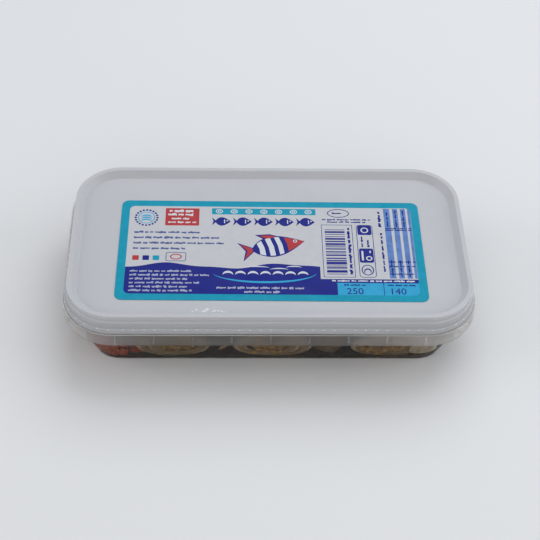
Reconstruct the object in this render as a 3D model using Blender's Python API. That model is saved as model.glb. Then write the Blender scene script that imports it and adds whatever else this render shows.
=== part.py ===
"""A shut plastic tub of rollmops, standing on its base.

The clear tub has a stepped rim: a flange with a skirt all round, stiffened by small gussets, and
above it an upstand that the milky lid snaps over. A thin printed label lies on the lid's sunk panel.
Inside are three rolled herring fillets with an onion and mustard seed filling, carrot slices at the
left end and loose onion pieces between.

Metres, +Z up, +X along the tub, -Y the front. The origin is under the middle of the base.
"""

import math
import random

import bmesh
import bpy
from mathutils import Matrix, Vector

MM = 0.001
GAP = 0.3 * MM

# Driving sizes of the tub's rim, from which the walls and the lid are set in.
FLANGE_HALF_X = 82.5 * MM
FLANGE_HALF_Y = 44.9 * MM
FLANGE_RADIUS = 21.1 * MM
FLANGE_TOP = 23.5 * MM
FLANGE_DROP = 5.9 * MM

# Tub.
BASE_HALF_X = 70.9 * MM
BASE_HALF_Y = 36.4 * MM
BASE_RADIUS = 11.2 * MM
BASE_EDGE = 1.2 * MM
TUB_WALL = 0.8 * MM
WALL_INSET = 3.7 * MM
WALL_BREAK = 14.5 * MM
UPSTAND_TOP = 30.7 * MM
EDGE_ROUND = 0.25 * MM
MID_ROUND = 1 - math.sqrt(0.5)

# Gussets inside the flange's skirt.
GUSSET_PITCH = 15.15 * MM
GUSSET_THICKNESS = 0.7 * MM
GUSSET_DROP = 5.2 * MM
GUSSET_BITE = 0.4
LONG_SIDE_GUSSETS = 9
SHORT_SIDE_GUSSETS = 3
CORNER_GUSSETS = 2

# Lid.
LID_WALL = 0.75 * MM
CREST_TOP = 31.9 * MM
CREST_INSET = 2.7 * MM
CREST_WIDTH = 1.3 * MM
PANEL_TOP = 29.3 * MM
PANEL_SLOPE = 2.9 * MM
PANEL_FILLET = 0.28
PANEL_FILLET_RISE = 0.3 * MM
CREST_FALL = 0.7 * MM
CREST_ROUND = 0.4 * MM
CREST_CROWN = 0.1 * MM
LID_DRAFT = 0.1 * MM
CHANNEL_WIDTH = 1.25 * MM
UPPER_LEDGE = 29.4 * MM
LOWER_LEDGE = 25.5 * MM
LEDGE_STEP = 0.6 * MM
LID_FOOT = FLANGE_TOP + GAP + 0.1 * MM
LID_FOOT_INSET = 0.6 * MM

# Label.
LABEL_HALF_X = 61.9 * MM
LABEL_HALF_Y = 28.1 * MM
LABEL_RADIUS = 3.0 * MM
LABEL_THICKNESS = 0.15 * MM
LABEL_CENTRE = (0.8 * MM, -3.8 * MM)
LABEL_TURN = math.radians(-0.4)

# Rolled fillets: middle, half width, half height, slant along Y, way round, and where the roll starts.
ROLLS = (
    {"x": -36.4 * MM, "half_x": 16.0 * MM, "half_z": 10.2 * MM, "slant": 0.03, "way": 1, "start": 118},
    {"x": -0.6 * MM, "half_x": 17.0 * MM, "half_z": 10.4 * MM, "slant": -0.02, "way": -1, "start": 62},
    {"x": 49.4 * MM, "half_x": 18.6 * MM, "half_z": 10.5 * MM, "slant": -0.03, "way": 1, "start": 150},
)
CONTENT_GAP = 0.6 * MM
ROLL_TURNS = 1.6
ROLL_LAST_PART = 0.62
ROLL_EYE = 0.28
ROLL_TURN_GAP = 0.035
ROLL_WAVE = 0.015
ROLL_SIT = 0.955
ROLL_WAIST = 0.018
ROLL_TAIL = 0.2
ROLL_TAIL_RISE = 4.0
ROLL_HEAD = 0.4
ROLL_HEAD_RISE = 5.0
ROLL_STEPS = 44
ROLL_END_ROUND = 0.9 * MM
ROLL_FACE_TRIM = 0.1
ROLL_RECESS = 2.0 * MM

# Filling in the eye of each roll, as a share of the roll's half width and height.
FILLING_REACH = 0.225
FILLING_LUMP = 0.018
FILLING_SIDES = 12
FILLING_PROFILE = ((-1, 0.62), (-0.975, 0.95), (-0.5, 1), (0, 0.94), (0.5, 1), (0.975, 0.95), (1, 0.62))
SEED_RADIUS = 0.95 * MM
SEEDS_AT_EACH_END = 3

# Carrot slices, in pairs along the left end: middle, axis and radius.
CARROTS = (
    {"at": (-67.6, -30.6, 11.5), "axis": (-0.65, -0.65, -0.39), "radius": 9.9},
    {"at": (-64.9, -27.9, 13.0), "axis": (-0.65, -0.65, -0.39), "radius": 8.6},
    {"at": (-72.3, -2.6, 11.4), "axis": (-0.927, -0.03, -0.375), "radius": 9.9},
    {"at": (-68.4, -1.2, 12.8), "axis": (-0.927, 0.04, -0.375), "radius": 8.9},
    {"at": (-67.6, 30.4, 11.5), "axis": (-0.65, 0.65, -0.39), "radius": 9.8},
    {"at": (-64.9, 27.7, 13.0), "axis": (-0.65, 0.65, -0.39), "radius": 8.5},
    {"at": (-58.9, -8.5, 11.4), "axis": (-0.98, -0.17, 0.08), "radius": 9.4},
    {"at": (-58.6, 12.5, 11.2), "axis": (-0.98, 0.16, 0.06), "radius": 9.2},
)
CARROT_THICKNESS = 3.1 * MM
CARROT_SIDES = 22
CARROT_EDGE = 0.45 * MM
CARROT_UNEVEN = 0.012

# Strips bent round a bend radius: middle, bend, sweep, height, thickness, turn about Z and lean.
ONIONS = (
    {"at": (18.6, -17.0, 8.3), "bend": 13, "sweep": 72, "height": 13.0, "thick": 1.6, "turn": 176, "lean": 4},
    {"at": (27.2, -13.5, 8.4), "bend": 14, "sweep": 66, "height": 12.4, "thick": 1.6, "turn": 4, "lean": 4},
    {"at": (18.8, 3.4, 8.9), "bend": 16, "sweep": 58, "height": 13.4, "thick": 1.5, "turn": 182, "lean": 3},
    {"at": (27.2, 7.0, 8.7), "bend": 13, "sweep": 74, "height": 13.0, "thick": 1.6, "turn": 358, "lean": 4},
    {"at": (21.6, 25.0, 8.4), "bend": 14, "sweep": 70, "height": 12.4, "thick": 1.6, "turn": 178, "lean": 6},
    {"at": (72.5, -14.5, 8.3), "bend": 46, "sweep": 24, "height": 12.6, "thick": 1.5, "turn": 1, "lean": 27},
    {"at": (72.5, 7.5, 8.3), "bend": 50, "sweep": 21, "height": 12.6, "thick": 1.5, "turn": 359, "lean": 27},
)
FILLET_ENDS = (
    {"at": (23.2, -33.6, 9.9), "bend": 16, "sweep": 44, "height": 16.6, "thick": 4.2, "turn": 269, "lean": 17},
)
STRIP_STEPS = 9
STRIP_WAVE = 0.05
STRIP_END_THIN = 0.45
STRIP_END_LOW = 0.72
STRIP_SECTION = ((-1, -0.86), (1, -0.86), (1, 0.86), (0, 1), (-1, 0.86))

CORNER_STEPS = 8
SEED = 41


def start_empty():
    """Take out whatever the file opened with."""
    for existing in list(bpy.data.objects):
        bpy.data.objects.remove(existing, do_unlink=True)


def make_material(name, colour, roughness, transmission=0.0):
    """A Principled material of one colour."""
    material = bpy.data.materials.new(name)
    material.use_nodes = True
    shader = material.node_tree.nodes["Principled BSDF"]
    shader.inputs["Base Color"].default_value = (*colour, 1.0)
    shader.inputs["Roughness"].default_value = roughness
    shader.inputs["Metallic"].default_value = 0.0
    shader.inputs["Transmission Weight"].default_value = transmission
    return material


def add_object(name, shape, material, sharp_degrees=35):
    """Turn a bmesh into a named object with its faces pointing out and round parts shaded smooth."""
    bmesh.ops.recalc_face_normals(shape, faces=shape.faces)
    mesh = bpy.data.meshes.new(name)
    shape.to_mesh(mesh)
    shape.free()
    mesh.materials.append(material)
    mesh.shade_smooth()
    mesh.set_sharp_from_angle(angle=math.radians(sharp_degrees))
    result = bpy.data.objects.new(name, mesh)
    bpy.context.scene.collection.objects.link(result)
    return result


def join_shapes(target, others):
    """Fuse loose shapes to an object with one Boolean union each, and take them away."""
    for other in others:
        union = target.modifiers.new("fuse", "BOOLEAN")
        union.operation = "UNION"
        union.solver = "EXACT"
        union.object = other
    bpy.context.view_layer.update()
    graph = bpy.context.evaluated_depsgraph_get()
    fused = bpy.data.meshes.new_from_object(target.evaluated_get(graph))
    target.modifiers.clear()
    target.data = fused
    for other in others:
        bpy.data.objects.remove(other, do_unlink=True)


def rounded_outline(half_x, half_y, radius):
    """The points of a rectangle with round corners, anticlockwise."""
    points = []
    for quarter, (side_x, side_y) in enumerate(((1, 1), (-1, 1), (-1, -1), (1, -1))):
        for step in range(CORNER_STEPS + 1):
            angle = math.radians(90 * (quarter + step / CORNER_STEPS))
            x = side_x * (half_x - radius) + radius * math.cos(angle)
            y = side_y * (half_y - radius) + radius * math.sin(angle)
            points.append((x, y))
    return points


def inset_ring(inset, height):
    """A ring set in from the flange's outline at a height."""
    return (FLANGE_HALF_X - inset, FLANGE_HALF_Y - inset, FLANGE_RADIUS - inset, height)


def wall_ring(height, inward=0.0):
    """A ring on the tub's sloping lower wall, between the base and the break, set inward."""
    share = height / WALL_BREAK
    foot = (BASE_HALF_X, BASE_HALF_Y, BASE_RADIUS)
    top = inset_ring(WALL_INSET, WALL_BREAK)
    half_x, half_y, radius = (low + (high - low) * share for low, high in zip(foot, top))
    return (half_x - inward, half_y - inward, radius - inward, height)


def loft(rings):
    """A closed body through rings of (half x, half y, radius, height), its two ends filled."""
    shape = bmesh.new()
    loops = []
    for half_x, half_y, radius, height in rings:
        outline = rounded_outline(half_x, half_y, radius)
        loops.append([shape.verts.new((x, y, height)) for x, y in outline])
    for lower, upper in zip(loops, loops[1:]):
        for index, vert in enumerate(lower):
            following = (index + 1) % len(lower)
            shape.faces.new((vert, lower[following], upper[following], upper[index]))
    shape.faces.new(loops[0])
    shape.faces.new(loops[-1])
    return shape


def gusset_places():
    """Points on the flange's outline and the direction out of it, one for each gusset."""
    straight_x = FLANGE_HALF_X - FLANGE_RADIUS
    straight_y = FLANGE_HALF_Y - FLANGE_RADIUS
    places = []
    for index in range(LONG_SIDE_GUSSETS):
        along = (index - (LONG_SIDE_GUSSETS - 1) / 2) * GUSSET_PITCH
        places.append((along, FLANGE_HALF_Y, 90))
        places.append((along, -FLANGE_HALF_Y, 270))
    for index in range(SHORT_SIDE_GUSSETS):
        along = (index - (SHORT_SIDE_GUSSETS - 1) / 2) * GUSSET_PITCH
        places.append((FLANGE_HALF_X, along, 0))
        places.append((-FLANGE_HALF_X, along, 180))
    for quarter, (side_x, side_y) in enumerate(((1, 1), (-1, 1), (-1, -1), (1, -1))):
        for index in range(CORNER_GUSSETS):
            degrees = 90 * (quarter + (index + 1) / (CORNER_GUSSETS + 1))
            angle = math.radians(degrees)
            x = side_x * straight_x + FLANGE_RADIUS * math.cos(angle)
            y = side_y * straight_y + FLANGE_RADIUS * math.sin(angle)
            places.append((x, y, degrees))
    return places


def make_tub(material):
    """The tub: floor, sloping wall, upstand, flange and skirt as one thin shell, with gussets."""
    under_flange = FLANGE_TOP - TUB_WALL
    skirt_foot = FLANGE_TOP - FLANGE_DROP
    inner_wall = WALL_INSET + TUB_WALL
    floor_top = TUB_WALL
    floor_inner = BASE_EDGE + TUB_WALL
    rings = [
        wall_ring(floor_top, floor_inner),
        wall_ring(floor_top + BASE_EDGE * MID_ROUND, floor_inner - BASE_EDGE * (1 - MID_ROUND)),
        wall_ring(floor_top + BASE_EDGE, TUB_WALL),
        inset_ring(inner_wall, WALL_BREAK),
        inset_ring(inner_wall, UPSTAND_TOP - EDGE_ROUND),
        inset_ring(inner_wall - EDGE_ROUND, UPSTAND_TOP),
        inset_ring(WALL_INSET + EDGE_ROUND, UPSTAND_TOP),
        inset_ring(WALL_INSET, UPSTAND_TOP - EDGE_ROUND),
        inset_ring(WALL_INSET, FLANGE_TOP),
        inset_ring(EDGE_ROUND, FLANGE_TOP),
        inset_ring(0, FLANGE_TOP - EDGE_ROUND),
        inset_ring(0, skirt_foot + EDGE_ROUND),
        inset_ring(EDGE_ROUND, skirt_foot),
        inset_ring(TUB_WALL - EDGE_ROUND, skirt_foot),
        inset_ring(TUB_WALL, skirt_foot + EDGE_ROUND),
        inset_ring(TUB_WALL, under_flange),
        inset_ring(WALL_INSET, under_flange),
        inset_ring(WALL_INSET, WALL_BREAK),
        wall_ring(BASE_EDGE),
        wall_ring(BASE_EDGE * MID_ROUND, BASE_EDGE * MID_ROUND),
        wall_ring(0, BASE_EDGE),
    ]
    tub = add_object("tub", loft(rings), material)

    ribs = bmesh.new()
    bite = TUB_WALL * GUSSET_BITE
    length = WALL_INSET - TUB_WALL + 2 * bite
    height = GUSSET_DROP - TUB_WALL + bite
    for x, y, degrees in gusset_places():
        middle = (TUB_WALL - bite) + length / 2
        turn = Matrix.Rotation(math.radians(degrees), 4, "Z")
        inward = turn @ Vector((-middle, 0, 0))
        place = Matrix.Translation(Vector((x, y, FLANGE_TOP - GUSSET_DROP + height / 2)) + inward)
        size = Matrix.Diagonal((length, GUSSET_THICKNESS, height, 1))
        bmesh.ops.create_cube(ribs, size=1, matrix=place @ turn @ size)
    join_shapes(tub, [add_object("gussets", ribs, material)])
    return tub


def make_lid(material):
    """The press-fit lid: sunk panel, raised bead and a skirt stepped out at two ledges."""
    slope_top = CREST_INSET + CREST_WIDTH
    panel_inset = slope_top + PANEL_SLOPE
    panel_under = PANEL_TOP - LID_WALL
    crest_under = CREST_TOP - LID_WALL
    upper = CREST_INSET - LID_DRAFT
    middle = upper - LEDGE_STEP
    lower = middle - LID_DRAFT - LEDGE_STEP
    channel = upper + LID_WALL
    rings = [
        inset_ring(panel_inset, PANEL_TOP),
        inset_ring(panel_inset - PANEL_FILLET * PANEL_SLOPE, PANEL_TOP + PANEL_FILLET_RISE),
        inset_ring(slope_top + PANEL_FILLET * PANEL_SLOPE, CREST_TOP - CREST_FALL),
        inset_ring(slope_top, CREST_TOP - CREST_CROWN),
        inset_ring(slope_top - CREST_WIDTH / 2, CREST_TOP),
        inset_ring(CREST_INSET + CREST_ROUND, CREST_TOP - CREST_CROWN / 2),
        inset_ring(CREST_INSET, CREST_TOP - CREST_ROUND),
        inset_ring(upper, UPPER_LEDGE + EDGE_ROUND),
        inset_ring(middle + EDGE_ROUND, UPPER_LEDGE),
        inset_ring(middle, UPPER_LEDGE - EDGE_ROUND),
        inset_ring(middle - LID_DRAFT, LOWER_LEDGE + EDGE_ROUND),
        inset_ring(lower + EDGE_ROUND, LOWER_LEDGE),
        inset_ring(lower, LOWER_LEDGE - EDGE_ROUND),
        inset_ring(LID_FOOT_INSET, LID_FOOT),
        inset_ring(LID_FOOT_INSET + LID_WALL, LID_FOOT),
        inset_ring(lower + LID_WALL, LOWER_LEDGE - LID_WALL),
        inset_ring(middle + LID_WALL, LOWER_LEDGE - LID_WALL),
        inset_ring(middle + LID_WALL, UPPER_LEDGE - LID_WALL),
        inset_ring(channel, UPPER_LEDGE - LID_WALL),
        inset_ring(channel, crest_under),
        inset_ring(channel + CHANNEL_WIDTH, crest_under),
        inset_ring(panel_inset, panel_under),
    ]
    return add_object("lid", loft(rings), material)


def make_label(material):
    """The printed film on the panel, a thin plate with round corners."""
    low = PANEL_TOP + GAP
    outline = (LABEL_HALF_X, LABEL_HALF_Y, LABEL_RADIUS)
    shape = loft([(*outline, low), (*outline, low + LABEL_THICKNESS)])
    place = Matrix.Translation((*LABEL_CENTRE, 0)) @ Matrix.Rotation(LABEL_TURN, 4, "Z")
    bmesh.ops.transform(shape, matrix=place, verts=shape.verts)
    return add_object("label", shape, material)


def inside_reach_y(x, height):
    """How far from the middle the tub's long wall is, inside, at a point along it."""
    half_x, half_y, radius, _ = wall_ring(min(max(height, 0.0), WALL_BREAK), TUB_WALL)
    past = abs(x) - (half_x - radius)
    if past <= 0:
        return half_y
    return half_y - radius + math.sqrt(max(radius**2 - past**2, 0.0))


def bridge(shape, loops):
    """Faces between closed loops of points that follow each other."""
    for near, far in zip(loops, loops[1:]):
        for index, vert in enumerate(near):
            following = (index + 1) % len(near)
            shape.faces.new((vert, near[following], far[following], far[index]))


def roll_middle(roll):
    """The height of a roll's middle, just clear of the floor."""
    return TUB_WALL + CONTENT_GAP + roll["half_z"] * ROLL_SIT


def make_roll(number, roll, material):
    """A fillet rolled up skin outward: a spiral band that reaches from one long wall to the other."""
    rule = random.Random(SEED + number)
    phase = [rule.uniform(0, 2 * math.pi) for _ in range(3)]
    middle_z = roll_middle(roll)
    pitch = (1 - ROLL_EYE) / (ROLL_TURNS + ROLL_LAST_PART)
    thickness = pitch - ROLL_TURN_GAP
    # Each station: its place from end to end, and whether it is an end face, trimmed to a round edge.
    stations = ((-1, True), (-1, False), (-0.6, False), (-0.2, False), (0.2, False), (0.6, False), (1, False))
    stations += ((1, True),)
    shape = bmesh.new()
    loops = []
    for end, is_face in stations:
        outer_side = []
        inner_side = []
        trim = ROLL_FACE_TRIM * thickness if is_face else 0.0
        slim = 1 - ROLL_WAIST * (1 + math.cos(3 * end + phase[0]))
        for step in range(ROLL_STEPS + 1):
            share = step / ROLL_STEPS
            angle = math.radians(roll["start"]) + roll["way"] * share * ROLL_TURNS * 2 * math.pi
            taper = min(1.0, ROLL_TAIL + ROLL_TAIL_RISE * (1 - share), ROLL_HEAD + ROLL_HEAD_RISE * share)
            reach = ROLL_EYE + share * ROLL_TURNS * pitch
            reach += ROLL_WAVE * math.sin(3 * angle + phase[1] + end) * share
            recess = ROLL_RECESS * (1 - share) * (0.6 + 0.4 * math.sin(2 * angle + phase[2]))
            for side, rim in ((inner_side, reach + trim), (outer_side, reach + thickness * taper - trim)):
                x = roll["x"] + roll["half_x"] * rim * math.cos(angle) * slim
                z = middle_z + roll["half_z"] * rim * math.sin(angle) * slim
                reach_y = inside_reach_y(x + end * roll["slant"] * BASE_HALF_Y, z) - CONTENT_GAP - recess
                if not is_face:
                    reach_y -= ROLL_END_ROUND
                side.append((x + roll["slant"] * end * reach_y, end * reach_y, z))
        loops.append([shape.verts.new(point) for point in outer_side + inner_side[::-1]])
    bridge(shape, loops)
    for loop in (loops[0], loops[-1]):
        last = len(loop) - 1
        for index in range(ROLL_STEPS):
            shape.faces.new((loop[index], loop[index + 1], loop[last - 1 - index], loop[last - index]))
    return add_object(f"rollmop_{number}", shape, material, sharp_degrees=50)


def make_filling(number, roll, material):
    """The onion and mustard seed core of a roll, a lumpy bar with seeds fused to both ends."""
    rule = random.Random(SEED * 2 + number)
    phase = [rule.uniform(0, 2 * math.pi) for _ in range(2)]
    middle_z = roll_middle(roll)
    end_y = inside_reach_y(roll["x"], middle_z) - CONTENT_GAP - SEED_RADIUS
    shape = bmesh.new()
    loops = []
    for place, width in FILLING_PROFILE:
        loop = []
        for side in range(FILLING_SIDES):
            angle = 2 * math.pi * side / FILLING_SIDES
            reach = FILLING_REACH * width + FILLING_LUMP * math.sin(3 * angle + phase[0] + 4 * place)
            y = place * end_y
            x = roll["x"] + roll["half_x"] * reach * math.cos(angle) + roll["slant"] * y
            loop.append(shape.verts.new((x, y, middle_z + roll["half_z"] * reach * math.sin(angle))))
        loops.append(loop)
    bridge(shape, loops)
    shape.faces.new(loops[0])
    shape.faces.new(loops[-1])
    filling = add_object(f"filling_{number}", shape, material)

    seeds = []
    for end in (-1, 1):
        for index in range(SEEDS_AT_EACH_END):
            angle = phase[1] + 2 * math.pi * index / SEEDS_AT_EACH_END
            reach = FILLING_REACH / 2
            x = roll["x"] + roll["half_x"] * reach * math.cos(angle) + roll["slant"] * end * end_y
            z = middle_z + roll["half_z"] * reach * math.sin(angle)
            seed = bmesh.new()
            place = Matrix.Translation((x, end * end_y, z))
            bmesh.ops.create_icosphere(seed, subdivisions=1, radius=SEED_RADIUS, matrix=place)
            seeds.append(add_object("seed", seed, material))
    join_shapes(filling, seeds)
    return filling


def make_carrot(number, carrot, material):
    """A round slice of carrot with softened edges, slightly out of round."""
    rule = random.Random(SEED * 3 + number)
    phase = rule.uniform(0, 2 * math.pi)
    radius = carrot["radius"] * MM
    half = CARROT_THICKNESS / 2
    levels = ((-half, radius - CARROT_EDGE), (CARROT_EDGE - half, radius), (half - CARROT_EDGE, radius))
    levels += ((half, radius - CARROT_EDGE),)
    shape = bmesh.new()
    loops = []
    for height, reach in levels:
        loop = []
        for side in range(CARROT_SIDES):
            angle = 2 * math.pi * side / CARROT_SIDES
            uneven = 1 - CARROT_UNEVEN * (2 + math.sin(2 * angle + phase) + math.sin(5 * angle + phase))
            x = reach * uneven * math.cos(angle)
            y = reach * uneven * math.sin(angle)
            loop.append(shape.verts.new((x, y, height)))
        loops.append(loop)
    bridge(shape, loops)
    shape.faces.new(loops[0])
    shape.faces.new(loops[-1])
    turn = Vector(carrot["axis"]).to_track_quat("Z", "Y").to_matrix().to_4x4()
    place = Matrix.Translation(Vector(carrot["at"]) * MM) @ turn
    bmesh.ops.transform(shape, matrix=place, verts=shape.verts)
    return add_object(f"carrot_slice_{number}", shape, material, sharp_degrees=55)


def make_strip(name, strip, material):
    """A strip of a layer, bent round an upright axis, wavy along its edges and thinner at its ends."""
    bend = strip["bend"] * MM
    shape = bmesh.new()
    loops = []
    for step in range(STRIP_STEPS + 1):
        share = step / STRIP_STEPS
        angle = math.radians(strip["sweep"]) * (share - 0.5)
        swell = math.sin(math.pi * share)
        half = strip["thick"] * MM / 2 * (STRIP_END_THIN + (1 - STRIP_END_THIN) * swell)
        tall = strip["height"] * MM / 2 * (STRIP_END_LOW + (1 - STRIP_END_LOW) * swell)
        rise = strip["height"] * MM * STRIP_WAVE * math.sin(2 * math.pi * share)
        loop = []
        for side, level in STRIP_SECTION:
            reach = bend + side * half
            point = (reach * math.cos(angle) - bend, reach * math.sin(angle), level * tall + rise)
            loop.append(shape.verts.new(point))
        loops.append(loop)
    bridge(shape, loops)
    shape.faces.new(loops[0])
    shape.faces.new(loops[-1])
    lean = Matrix.Rotation(math.radians(strip["lean"]), 4, "Y")
    turn = Matrix.Rotation(math.radians(strip["turn"]), 4, "Z")
    place = Matrix.Translation(Vector(strip["at"]) * MM) @ turn @ lean
    bmesh.ops.transform(shape, matrix=place, verts=shape.verts)
    return add_object(name, shape, material, sharp_degrees=50)


def main():
    start_empty()
    clear_plastic = make_material("clear_polypropylene", (0.80, 0.82, 0.83), 0.35, 0.7)
    milky_plastic = make_material("milky_polypropylene", (0.62, 0.64, 0.68), 0.45, 0.15)
    print_film = make_material("printed_film", (0.30, 0.58, 0.70), 0.4)
    herring = make_material("pickled_herring", (0.42, 0.36, 0.28), 0.35)
    filling = make_material("onion_and_mustard_seed", (0.52, 0.38, 0.16), 0.5)
    carrot = make_material("carrot", (0.72, 0.22, 0.06), 0.45)
    onion = make_material("pickled_onion", (0.62, 0.56, 0.42), 0.35)
    make_tub(clear_plastic)
    make_lid(milky_plastic)
    make_label(print_film)
    for number, roll in enumerate(ROLLS, start=1):
        make_roll(number, roll, herring)
        make_filling(number, roll, filling)
    for number, slice_of_carrot in enumerate(CARROTS, start=1):
        make_carrot(number, slice_of_carrot, carrot)
    for number, strip in enumerate(ONIONS, start=1):
        make_strip(f"onion_piece_{number}", strip, onion)
    for number, strip in enumerate(FILLET_ENDS, start=1):
        make_strip(f"fillet_end_{number}", strip, herring)


main()
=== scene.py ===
import math
import random

import bmesh
import bpy
from mathutils import Matrix, Vector


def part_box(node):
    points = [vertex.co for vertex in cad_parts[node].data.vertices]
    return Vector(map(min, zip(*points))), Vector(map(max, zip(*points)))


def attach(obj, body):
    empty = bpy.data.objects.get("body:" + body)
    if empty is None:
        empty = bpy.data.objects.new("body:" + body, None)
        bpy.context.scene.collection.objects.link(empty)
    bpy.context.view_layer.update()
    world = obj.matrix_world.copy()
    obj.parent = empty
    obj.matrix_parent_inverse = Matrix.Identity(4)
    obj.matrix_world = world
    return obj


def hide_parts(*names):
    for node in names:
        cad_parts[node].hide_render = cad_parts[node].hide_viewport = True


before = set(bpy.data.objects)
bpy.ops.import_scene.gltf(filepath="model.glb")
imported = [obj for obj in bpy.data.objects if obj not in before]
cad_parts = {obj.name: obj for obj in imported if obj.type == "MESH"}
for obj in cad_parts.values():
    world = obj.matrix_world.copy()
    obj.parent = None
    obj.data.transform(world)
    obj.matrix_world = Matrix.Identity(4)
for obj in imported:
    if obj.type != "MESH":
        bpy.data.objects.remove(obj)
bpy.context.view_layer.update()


# The table. A pale laminate top, matt and very slightly uneven, that the tub stands on. It is the
# stage and not part of the object.
MM = 0.001
TABLE_HALF = 1.6
TABLE_TONE = (0.88, 0.89, 0.90)


def new_material(name, colour, roughness):
    """A Principled material and its shader, one colour and roughness to begin with."""
    material = bpy.data.materials.new(name)
    material.use_nodes = True
    shader = material.node_tree.nodes["Principled BSDF"]
    shader.inputs["Base Color"].default_value = (*colour, 1)
    shader.inputs["Roughness"].default_value = roughness
    return material, shader


def add_node(material, kind, inputs, **settings):
    """A node whose inputs are numbers, colours or other nodes' outputs."""
    node = material.node_tree.nodes.new(kind)
    for setting, value in settings.items():
        setattr(node, setting, value)
    for socket, value in inputs.items():
        if isinstance(value, bpy.types.NodeSocket):
            material.node_tree.links.new(value, node.inputs[socket])
        else:
            node.inputs[socket].default_value = value
    return node


def mottle(material, features_per_metre, detail=2.0, stretch=(1, 1, 1)):
    """Soft noise laid out in the piece's own metres."""
    place = add_node(material, "ShaderNodeTexCoord", {})
    stretched = add_node(material, "ShaderNodeMapping", {"Vector": place.outputs["Object"], "Scale": stretch})
    size = {"Vector": stretched.outputs["Vector"], "Scale": features_per_metre, "Detail": detail}
    return add_node(material, "ShaderNodeTexNoise", size).outputs["Fac"]


def raise_surface(material, shader, heights):
    """Fine relief from a list of (height texture, depth in metres), one bump feeding the next."""
    normal = None
    for height, depth in heights:
        inputs = {"Height": height, "Distance": depth, "Strength": 1.0}
        if normal:
            inputs["Normal"] = normal
        normal = add_node(material, "ShaderNodeBump", inputs).outputs["Normal"]
    material.node_tree.links.new(normal, shader.inputs["Normal"])


def add_piece(name, shape, materials, sharp_degrees=40):
    """Turn a bmesh into an object with its faces pointing out and its round parts shaded smooth."""
    bmesh.ops.recalc_face_normals(shape, faces=shape.faces)
    mesh = bpy.data.meshes.new(name)
    shape.to_mesh(mesh)
    shape.free()
    for material in materials:
        mesh.materials.append(material)
    mesh.shade_smooth()
    mesh.set_sharp_from_angle(angle=math.radians(sharp_degrees))
    piece = bpy.data.objects.new(name, mesh)
    bpy.context.scene.collection.objects.link(piece)
    return piece


laminate, laminate_shader = new_material("pale_laminate", TABLE_TONE, 0.5)
raise_surface(laminate, laminate_shader, [(mottle(laminate, 900), 0.02 * MM)])
laminate_shader.inputs["Specular IOR Level"].default_value = 0.3
table_top = bmesh.new()
bmesh.ops.create_grid(table_top, x_segments=1, y_segments=1, size=TABLE_HALF)
table = add_piece("table_top", table_top, [laminate])


# The light. A large soft panel hangs over the table and weaker ones stand in front and at both sides,
# in a pale room, as round a packshot table.
ROOM_TONE = (0.92, 0.92, 0.93)
ROOM_STRENGTH = 0.40
# Each panel: name, place, width, depth, tone and power. All face the tub.
LIGHT_PANELS = (
    ("ceiling_panel", (0.3, 0.7, 0.95), 1.2, 0.9, (0.88, 0.94, 1.0), 5.9),
    ("front_panel", (0.1, -1.0, 0.55), 1.2, 0.6, (1.0, 0.97, 0.93), 2.1),
    ("left_panel", (-1.1, -0.1, 0.5), 0.8, 0.7, (0.95, 0.97, 1.0), 3.4),
    ("right_panel", (1.1, -0.1, 0.5), 0.8, 0.7, (0.95, 0.97, 1.0), 3.4),
)

room = bpy.data.worlds.new("pale_room")
room.use_nodes = True
room_light = room.node_tree.nodes["Background"]
room_light.inputs["Color"].default_value = (*ROOM_TONE, 1)
room_light.inputs["Strength"].default_value = ROOM_STRENGTH
bpy.context.scene.world = room
bpy.context.scene.view_settings.view_transform = "Standard"

for name, place, width, depth, tone, power in LIGHT_PANELS:
    panel = bpy.data.lights.new(name, "AREA")
    panel.shape = "RECTANGLE"
    panel.size = width
    panel.size_y = depth
    panel.color = tone
    panel.energy = power
    lamp = bpy.data.objects.new(name, panel)
    facing = Vector(place).to_track_quat("Z", "Y").to_matrix().to_4x4()
    lamp.matrix_world = Matrix.Translation(place) @ facing
    bpy.context.scene.collection.objects.link(lamp)


# The camera. It is held at arm's length above the front long side and tipped a little to one side,
# with a short telephoto lens, and all of the tub is in focus.
CAMERA_DROP = math.radians(46.5)
CAMERA_TURN = math.radians(2.81)
CAMERA_LEAN = math.radians(-2.22)
CAMERA_DISTANCE = 555.1 * MM
CAMERA_SIDESTEP = 0.8 * MM
CAMERA_RAISE = 9.2 * MM
CAMERA_LENS = 87.2

ahead = Vector((0, math.cos(CAMERA_DROP), -math.sin(CAMERA_DROP)))
across = Vector((1, 0, 0))
upward = Vector((0, math.sin(CAMERA_DROP), math.cos(CAMERA_DROP)))
stand = -CAMERA_DISTANCE * ahead + CAMERA_SIDESTEP * across + CAMERA_RAISE * upward
right_of_view = math.cos(CAMERA_LEAN) * across - math.sin(CAMERA_LEAN) * upward
top_of_view = math.sin(CAMERA_LEAN) * across + math.cos(CAMERA_LEAN) * upward
camera_data = bpy.data.cameras.new("camera")
camera_data.sensor_fit = "HORIZONTAL"
camera_data.lens = CAMERA_LENS
camera_data.clip_start = 10 * MM
camera = bpy.data.objects.new("camera", camera_data)
turned = Matrix((right_of_view, top_of_view, -ahead)).transposed().to_4x4()
camera.matrix_world = Matrix.Rotation(-CAMERA_TURN, 4, "Z") @ Matrix.Translation(stand) @ turned
bpy.context.scene.collection.objects.link(camera)
bpy.context.scene.camera = camera


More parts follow.
